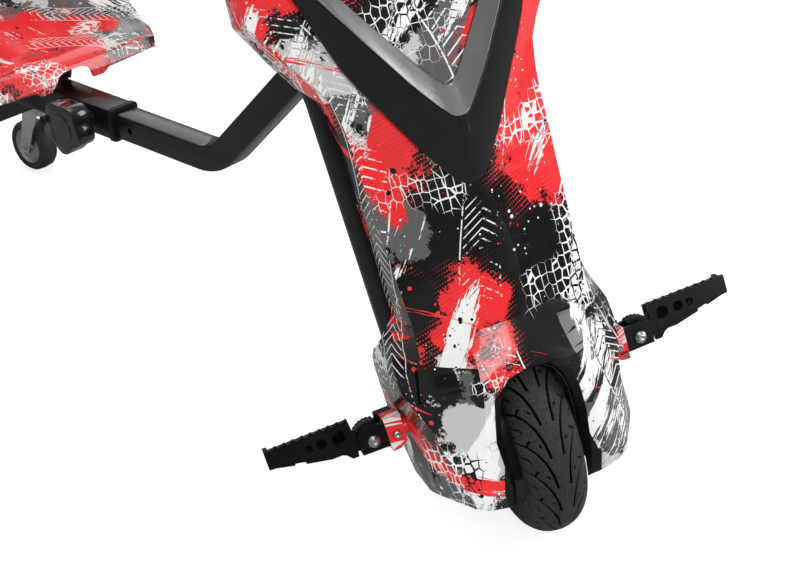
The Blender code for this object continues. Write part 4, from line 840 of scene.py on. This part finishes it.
# %% Lay the block round the axle
def geometry_tree(name, **inputs):
    """A new Geometry Nodes tree. Each input is given as title=kind, and a Material comes last."""
    given = {"Geometry": "Geometry", **inputs, "Material": "Material"}
    return node_group("GeometryNodeTree", name, given, {"Geometry": "Geometry"})


def lay(nodes, points, instance, turn, scale=(1.0, 1.0, 1.0)):
    """Copies of the instance on the points, as real geometry."""
    inputs = {"Points": points, "Instance": instance, "Rotation": turn, "Scale": scale}
    laid = nodes.add("GeometryNodeInstanceOnPoints", inputs).outputs["Instances"]
    return nodes.add("GeometryNodeRealizeInstances", {"Geometry": laid}).outputs["Geometry"]


def end_tree(nodes, geometry, given, out):
    """Gives the geometry the tree's material and puts it out."""
    inputs = {"Geometry": geometry, "Material": given["Material"]}
    nodes.fill(out, {"Geometry": nodes.add("GeometryNodeSetMaterial", inputs).outputs["Geometry"]})


def run_tree(item, tree, **values):
    """Runs the tree on the item with the given input values, and leaves a plain mesh."""
    modifier = item.modifiers.new(tree.name, "NODES")
    modifier.node_group = tree
    for socket in tree.interface.items_tree:
        if socket.name in values:
            modifier[socket.identifier] = values[socket.name]
    return plain_mesh(item)


turning, n, given, out = geometry_tree("blocks_round_axle", Blocks="Int", Centre="Vector", Axle="Vector")
spots = n.add("GeometryNodeMeshLine", {"Count": given["Blocks"], "Offset": (0.0, 0.0, 0.0)}).outputs["Mesh"]
number = n.add("GeometryNodeInputIndex").outputs["Index"]
angle = n.times(n.math("DIVIDE", number, given["Blocks"]), 2 * math.pi)
turn = n.add("FunctionNodeAxisAngleToRotation", {"Axis": given["Axle"], "Angle": angle}).outputs["Rotation"]
to_axle = n.vector("MULTIPLY", given["Centre"], (-1.0, -1.0, -1.0))
centred = n.add("GeometryNodeTransform", {"Geometry": given["Geometry"], "Translation": to_axle})
whole = lay(n, spots, centred.outputs["Geometry"], turn)
moved = n.add("GeometryNodeTransform", {"Geometry": whole, "Translation": given["Centre"]})
joined = {"Geometry": moved.outputs["Geometry"], "Distance": 0.03 * MM}
welded = n.add("GeometryNodeMergeByDistance", joined).outputs["Geometry"]
end_tree(n, welded, given, out)

axle_centre = tuple(steering.translation)
run_tree(tread_block, turning, Blocks=BLOCKS, Centre=axle_centre, Axle=tuple(axle_left), Material=TYRE_RUBBER)
shade(tread_block, 60)
settle(tread_block, "front_tyre")
print("tyre faces:", len(tread_block.data.polygons))

# %% [markdown]
# ## Ribbed grips
#
# A rubber grip is moulded with rings that keep the hand from sliding. The
# grip is turned: one profile with a rib every few millimetres is spun round
# the bar.


# %% A maker for turned pieces
SEGMENTS = 40


def on_circle(count):
    """The angles of evenly spaced points round a circle."""
    return [2 * math.pi * step / count for step in range(count)]


def circle(radius, count):
    """The evenly spaced points themselves, as (cosine, sine) times the radius."""
    return [(radius * math.cos(angle), radius * math.sin(angle)) for angle in on_circle(count)]


def both_sides(across, back, up):
    """For each side of the steering: (its name, its sign, the point there)."""
    return [(side, sign, in_steering(sign * across, back, up)) for side, sign in (("left", 1), ("right", -1))]


def join_rings(bm, rings, capped):
    """Faces from each ring of vertices to the next, and over both ends where they are capped."""
    for lower, higher in zip(rings, rings[1:]):
        for step in range(len(lower)):
            after = (step + 1) % len(lower)
            bm.faces.new((lower[step], lower[after], higher[after], higher[step]))
    if capped:
        bm.faces.new(rings[0][::-1])
        bm.faces.new(rings[-1])


def turned(name, profile, centre, axis, material):
    """A closed turned piece. The profile lists (distance along the axis, radius) in millimetres."""
    upright = axis.to_track_quat("Z", "Y").to_matrix().to_4x4()
    upright.translation = centre
    bm = bmesh.new()
    rings = []
    for along, radius in profile:
        points = [Vector((x, y, along)) * MM for x, y in circle(radius, SEGMENTS)]
        rings.append([bm.verts.new(upright @ point) for point in points])
    comes_back = profile[0] == profile[-1]
    join_rings(bm, rings, not comes_back)
    if comes_back:
        bmesh.ops.remove_doubles(bm, verts=bm.verts, dist=1e-6)
    bmesh.ops.recalc_face_normals(bm, faces=bm.faces)
    item = new_object(name, mesh_of(bm, name))
    dress(item, material, 40)
    return item


# %% Turn the grips
HALF_GRIP = 54.0
GRIP_RADIUS = 15.4
RIB_FOOT = 14.3
RIB_PITCH = 5.2
FLANGE_RADIUS = 19.2
BAR_RADIUS = 11.3
NO_RADIUS = 0.01
GRIP_PLACE = (185.3, 30.0, 546.0)
grip_profile = [
    (HALF_GRIP - 4, NO_RADIUS), (HALF_GRIP - 4, BAR_RADIUS), (-HALF_GRIP, BAR_RADIUS),
    (-HALF_GRIP, FLANGE_RADIUS), (-HALF_GRIP + 3.5, FLANGE_RADIUS), (-HALF_GRIP + 5, 14.6),
]
position = -HALF_GRIP + 9
while position < HALF_GRIP - 12:
    rib = [(0, RIB_FOOT), (0.8, GRIP_RADIUS), (2.8, GRIP_RADIUS), (3.6, RIB_FOOT)]
    grip_profile += [(position + along, radius) for along, radius in rib]
    position += RIB_PITCH
grip_end = [(-7, 14.6), (-3, 15.2), (-1, 14.2), (0, BAR_RADIUS + 0.2), (0, NO_RADIUS), (-4, NO_RADIUS)]
grip_profile += [(HALF_GRIP + along, radius) for along, radius in grip_end]
for side, sign, middle in both_sides(*GRIP_PLACE):
    grip = turned("grip_%s.ribbed" % side, grip_profile, middle, axle_left * sign, GRIP_RUBBER)
    settle(grip, "grip_" + side)
print("grips ribbed")

# %% [markdown]
# ## Screws
#
# Socket screws hold the brackets, the stem, the motor's side covers and the
# back cover. One head with a six-sided socket is modelled, and a Geometry
# Nodes tree lays it on a set of points. Each point carries the direction that
# its screw looks in, as an attribute called `facing`, and the tree scales the
# head to the size of that group of screws.


# %% One screw head
HALF_SOCKET = 0.46
SIXTH = math.pi / 3


def socket_head():
    """A round head of radius 1 on its z axis. Where the outline has no radius, it has six sides."""
    outline = [(0.0, 1.0), (0.55, 1.0), (0.78, 0.9), (0.86, 0.74), (0.86, None), (0.3, None)]
    bm = bmesh.new()
    rings = []
    for height, radius in outline:
        ring = []
        for angle in on_circle(24):
            reach = radius or HALF_SOCKET / math.cos((angle + SIXTH / 2) % SIXTH - SIXTH / 2)
            ring.append(bm.verts.new((math.cos(angle) * reach, math.sin(angle) * reach, height)))
        rings.append(ring)
    join_rings(bm, rings, True)
    return shade(new_object("socket_head", mesh_of(bm, "socket_head")), 28)


# %% Lay the heads on points
heads_tree, n, given, out = geometry_tree("heads_on_points", Head="Object", Radius="Float")
facing = n.add("GeometryNodeInputNamedAttribute", {"Name": "facing"}, data_type="FLOAT_VECTOR")
turn = n.add("FunctionNodeAlignRotationToVector", {"Vector": facing.outputs["Attribute"]}, axis="Z")
head = n.add("GeometryNodeObjectInfo", {"Object": given["Head"]}).outputs["Geometry"]
heads = lay(n, given["Geometry"], head, turn.outputs["Rotation"], given["Radius"])
end_tree(n, heads, given, out)
screw_head = socket_head()


def screws(name, places, way, radius, body, material=ZINC):
    """Screw heads on one body, at places (across, back, up) of the steering. They look along way.

    Where way is None, each looks out from the wheel, to its own side.
    """
    item = drawn_object(name, [in_steering(*place) for place in places])
    layer = item.data.attributes.new("facing", "FLOAT_VECTOR", "POINT")
    for value, place in zip(layer.data, places):
        value.vector = way or axle_left * math.copysign(1, place[0])
    run_tree(item, heads_tree, Head=screw_head, Radius=radius * MM, Material=material)
    attach(item, body)
    print(name, len(places))


# %% All the screws
forwards = -fork_back
SIDES = (-1, 1)
BRACKET_SCREWS = [(side * 127.8, -12.0, 34.2) for side in SIDES]
STEM_SCREWS = [(side * 14.5, -17.0, up) for side in SIDES for up in (525.0, 562.5)]
COVER_SCREWS = [(side * 70.0, -10.3, up) for side in SIDES for up in (176.0, 270.0, 366.0)]
BOLT_CIRCLE = 46.0
MOTOR_SCREWS = [(side * 43.0, back, up) for side in SIDES for up, back in circle(BOLT_CIRCLE, 8)]
screws("bracket_screws", BRACKET_SCREWS, forwards, 4.2, "steering")
screws("stem_screws", STEM_SCREWS, forwards, 3.6, "steering", MOULDED_BLACK)
screws("back_cover_screws", COVER_SCREWS, fork_back, 3.4, "steering")
screws("motor_screws", MOTOR_SCREWS, None, 3.2, body_of_node["hub_motor"])
bpy.data.objects.remove(screw_head, do_unlink=True)

# %% [markdown]
# The peg bolts are solids already. Their button heads get a six-sided socket
# each, cut with a Boolean, because a hole can't be laid on a surface.


# %% Sockets in the peg bolts
ACROSS_FLATS = 5 * MM
SOCKET_DEPTH = 2.5 * MM
BOLT_HEAD = (153.0, -17.5, 36.5)


def hexagon_tool(centre, way):
    """A six-sided bar that reaches as far to each side of the centre as the socket is deep."""
    radius = ACROSS_FLATS / math.sqrt(3)
    bm = bmesh.new()
    bmesh.ops.create_cone(
        bm, cap_ends=True, segments=6, radius1=radius, radius2=radius, depth=2 * SOCKET_DEPTH
    )
    turn = way.to_track_quat("Z", "Y").to_matrix().to_4x4()
    turn.translation = centre
    bm.transform(turn)
    return new_object("hexagon_tool", mesh_of(bm, "hexagon_tool"))


for side, _, centre in both_sides(*BOLT_HEAD):
    bolt = finished["peg_bolt_" + side]
    tool = hexagon_tool(centre, forwards)
    socket = bolt.modifiers.new("socket", "BOOLEAN")
    socket.operation = "DIFFERENCE"
    socket.solver = "EXACT"
    socket.object = tool
    plain_mesh(bolt)
    dress(bolt, ZINC, 30)
    bpy.data.objects.remove(tool, do_unlink=True)
print("bolt sockets cut")

# %% [markdown]
# ## Weld beads
#
# The frame is welded: where the rising tube meets the head tube, where the
# rear arm stands on the beam, and round the boss of the clamp knob. A weld
# bead is a chain of small overlapping scales. The path of the joint is
# measured, and a second Geometry Nodes tree lays flattened beads along it.

# %% A tree for weld beads
beading, n, given, out = geometry_tree("beads_on_path", Step="Float", Radius="Float")
path = n.add("GeometryNodeMeshToCurve", {"Mesh": given["Geometry"]}).outputs["Curve"]
even_path = n.add("GeometryNodeResampleCurve", {"Curve": path, "Length": given["Step"]}, mode="LENGTH")
along = n.add("GeometryNodeInputTangent").outputs["Tangent"]
turn = n.add("FunctionNodeAlignRotationToVector", {"Vector": along}, axis="Z").outputs["Rotation"]
bead = n.add("GeometryNodeMeshUVSphere", {"Segments": 8, "Rings": 5, "Radius": given["Radius"]})
beads = lay(n, even_path.outputs["Curve"], bead.outputs["Mesh"], turn, (1.0, 1.0, 0.7))
end_tree(n, n.add("GeometryNodeSetShadeSmooth", {"Geometry": beads}).outputs["Geometry"], given, out)


def weld(name, points, radius, body):
    """A closed chain of weld scales through the points, which are in metres."""
    radius *= MM
    item = drawn_object(name, points, [(index, (index + 1) % len(points)) for index in range(len(points))])
    run_tree(item, beading, Step=1.1 * radius, Radius=radius, Material=POWDER_COAT)
    attach(item, body)


# %% The welded joints
SIDE_STEPS = 8
HEAD_RADIUS = 22.2 * MM
HALF_TUBE = 16.3 * MM
HALF_ARM = 19.6 * MM
BOSS_RADIUS = 10.5 * MM
RISE = math.radians(47)


def square_outline(half):
    """Points round a square, from corner to corner."""
    corners = [(half, half), (-half, half), (-half, -half), (half, -half), (half, half)]
    sides = [(Vector(start), Vector(end)) for start, end in zip(corners, corners[1:])]
    return [start.lerp(end, step / SIDE_STEPS) for start, end in sides for step in range(SIDE_STEPS)]


rising_way = Vector((0, -math.cos(RISE), math.sin(RISE)))
tube_point = Vector((0, -0.151, 0.3676))  # on the centre line of the rising tube
tube_up = Vector((1, 0, 0)).cross(rising_way)
head_weld = []
for across, up in square_outline(HALF_TUBE):
    start = tube_point + Vector((across, 0, 0)) + tube_up * up - steering.translation
    start_flat = start - fork_up * start.dot(fork_up)
    way_flat = rising_way - fork_up * rising_way.dot(fork_up)
    middle = start_flat.dot(way_flat)
    size = way_flat.length_squared
    spread = math.sqrt(middle ** 2 - size * (start_flat.length_squared - HEAD_RADIUS ** 2))
    head_weld.append(steering.translation + start + rising_way * (-middle - spread) / size)
weld("head_weld", head_weld, 2.1, "frame")

beam_low, beam_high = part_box("rear_beam")
beam_middle = (beam_low[1] + beam_high[1]) / 2
foot_weld = [Vector((across, beam_middle + back, beam_high[2])) for across, back in square_outline(HALF_ARM)]
weld("foot_weld", foot_weld, 2.3, "rear_carriage")

knob_centre = Vector(joints["clamp_turn"]["pos_m"])
boss_weld = [knob_centre + Vector((-0.2 * MM, back, up)) for back, up in circle(BOSS_RADIUS, 24)]
weld("boss_weld", boss_weld, 1.6, "rear_carriage")
print("welds laid: 3")

# %% [markdown]
# Each boot of the fairing is closed towards the wheel by a thin black wall,
# with a hole for the axle. Its front edge follows the inside of the boot. It
# is drawn as a flat curve with a hole, and the curve's own thickness and
# rounding make the sheet.

# %% The boots' inner walls
WALL_EDGE = [
    (71, -56), (84, -36), (91.8, 9), (94, 21), (98.8, 33), (103.8, 49), (106, 60), (107, 71), (107.3, 84),
    (105.3, 90), (99.8, 101), (94.2, 115), (92, 119), (44, 120), (34, 117), (-6, 92), (-14, 84), (-18, 72),
    (-19, -22), (-14, -34), (-4, -44), (44, -57), (58, -58),
]
WALL_PLACE = 51.5
AXLE_ROOM = 9.5
for side, _, centre in both_sides(WALL_PLACE, 0.0, 0.0):
    sheet_curve = bpy.data.curves.new("boot_wall_" + side, "CURVE")
    sheet_curve.dimensions = "2D"
    sheet_curve.fill_mode = "BOTH"
    sheet_curve.extrude = 0.7 * MM
    sheet_curve.bevel_depth = 0.3 * MM
    sheet_curve.bevel_resolution = 1
    for loop in (WALL_EDGE, circle(AXLE_ROOM, 24)):
        spline = sheet_curve.splines.new("POLY")
        spline.points.add(len(loop) - 1)
        spline.use_cyclic_u = True
        for point, (ahead, up) in zip(spline.points, loop):
            point.co = (ahead * MM, up * MM, 0.0, 1.0)
    drawn = new_object("drawn_wall", sheet_curve)
    bpy.context.view_layer.update()
    wall_mesh = bpy.data.meshes.new_from_object(drawn)
    bpy.data.objects.remove(drawn, do_unlink=True)
    across_wall = Matrix((-fork_back, fork_up, -axle_left)).transposed().to_4x4()
    across_wall.translation = centre
    wall_mesh.transform(across_wall)
    wall = new_object("boot_wall_" + side, wall_mesh)
    dress(wall, MOULDED_BLACK, 30)
    attach(wall, "steering")
print("boot walls: 2")

# %% [markdown]
# The clamp knob has a smooth cap pressed into its end, with a thin rim.

# %% The knob's cap
CAP_PROFILE = [
    (-1.0, NO_RADIUS), (-1.0, 19.0), (0.7, 19.0), (1.1, 18.4), (1.1, 17.4), (0.5, 16.8), (0.7, 8.0),
    (0.8, NO_RADIUS),
]
knob_end = Vector((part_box("clamp_knob")[0][0], knob_centre.y, knob_centre.z))
cap = turned("knob_cap", CAP_PROFILE, knob_end, Vector((-1, 0, 0)), GLOSSY_BLACK)
attach(cap, body_of_node["clamp_knob"])
print("knob capped")

# %% [markdown]
# ## Light, floor and camera
#
# A catalogue picture is taken on white paper under large soft lamps, in a
# room that is dark beyond them, so black parts stay black between the bright
# reflections. The floor is one pale sheet that keeps a soft shadow under the
# tyre, and the world is plain white to the camera only. The camera stands on
# the rider's right in front of the scooter and looks down at the front wheel.

# %% Floor and world
paper = bpy.data.materials.new("white_paper")
n = fresh_nodes(paper)
sheet_grain = n.noise(n.add("ShaderNodeTexCoord").outputs["Object"], 3.0, 2.0, 0.5)
tone = n.mix(n.ramp(sheet_grain, 0.0, 1.0, 0.0, 0.04), tint(0.93), tint(0.9))
path = n.add("ShaderNodeLightPath").outputs
sheet = n.add("ShaderNodeBsdfDiffuse", {"Color": n.mix(path["Is Glossy Ray"], tone, tint(0.3))})
glow = n.add("ShaderNodeEmission", {"Color": tint(1.0), "Strength": 1.28})
seen = n.times(path["Is Camera Ray"], 0.62)
both = n.add("ShaderNodeMixShader", {0: seen, 1: sheet.outputs[0], 2: glow.outputs[0]})
n.add("ShaderNodeOutputMaterial", {"Surface": both.outputs[0]})

REACH = 12.0
UNDER_TYRE = 0.5 * MM
corners = [(-REACH, -REACH, 0), (REACH, -REACH, 0), (REACH, REACH, 0), (-REACH, REACH, 0)]
floor = drawn_object("floor", corners, faces=[(0, 1, 2, 3)])
floor.location.z = -UNDER_TYRE
dress(floor, paper)

world = bpy.data.worlds.new("white_room")
bpy.context.scene.world = world
n = fresh_nodes(world)
path = n.add("ShaderNodeLightPath").outputs
up = n.split(n.add("ShaderNodeTexCoord").outputs["Generated"])[2]
shades = {"mirrored": n.ramp(up, 0.1, 0.9, 0.12, 0.5), "soft": 0.55, "bright": 1.0}
light = {
    name: n.add("ShaderNodeBackground", {"Color": tint(1.0), "Strength": strength}).outputs[0]
    for name, strength in shades.items()
}
lit = n.add("ShaderNodeMixShader", {0: path["Is Glossy Ray"], 1: light["soft"], 2: light["mirrored"]})
both = n.add("ShaderNodeMixShader", {0: path["Is Camera Ray"], 1: lit.outputs[0], 2: light["bright"]})
n.add("ShaderNodeOutputWorld", {"Surface": both.outputs[0]})
print("world:", world.name)


# %% Lamps
def lamp(name, place, aim, size, power):
    """A soft box of size (width, height) in metres that stands at place and shines at aim."""
    data = bpy.data.lights.new(name, "AREA")
    data.shape = "RECTANGLE"
    data.size, data.size_y = size
    data.energy = power
    item = new_object(name, data)
    item.location = place
    item.rotation_euler = (Vector(aim) - Vector(place)).to_track_quat("-Z", "Y").to_euler()


CAMERA_PLACE = Vector((-1.0245, -1.1639, 0.9974))
lamp("key_box", (-2.2, -2.6, 2.6), (0.0, -0.3, 0.3), (1.6, 1.2), 46)
lamp("side_box", (2.4, -2.4, 1.6), (0.0, -0.2, 0.3), (1.2, 1.6), 34)
lamp("top_box", (0.0, 0.4, 3.2), (0.0, 0.0, 0.0), (2.4, 2.4), 30)
lamp("rim_box", (1.9, 2.5, 1.9), (0.0, 0.3, 0.2), (4.2, 2.0), 34)

# A last small box stands where the camera sees it mirrored in the front of the shell
on_shell = in_steering(35.0, -105.0, 300.0)
looking_out = (axle_left * 0.16 - fork_back).normalized()
to_camera = (CAMERA_PLACE - on_shell).normalized()
mirrored_way = 2 * looking_out.dot(to_camera) * looking_out - to_camera
lamp("shell_box", on_shell + 2.2 * mirrored_way, on_shell, (0.5, 0.9), 9)
print("lamps:", len(bpy.data.lights))

# %% Camera
AZIMUTH = math.radians(-51.26)
ELEVATION = math.radians(30.81)
level = math.cos(ELEVATION)
backwards = Vector((math.sin(AZIMUTH) * level, -math.cos(AZIMUTH) * level, math.sin(ELEVATION)))
camera_data = bpy.data.cameras.new("camera")
camera_data.sensor_width = 36.0
camera_data.lens = 64.12
camera = new_object("camera", camera_data)
camera.location = CAMERA_PLACE
camera.rotation_mode = "QUATERNION"
camera.rotation_quaternion = (-backwards).to_track_quat("-Z", "Y")
bpy.context.scene.camera = camera
bpy.context.scene.view_settings.view_transform = "Standard"
print("camera at", tuple(round(value, 3) for value in camera.location))
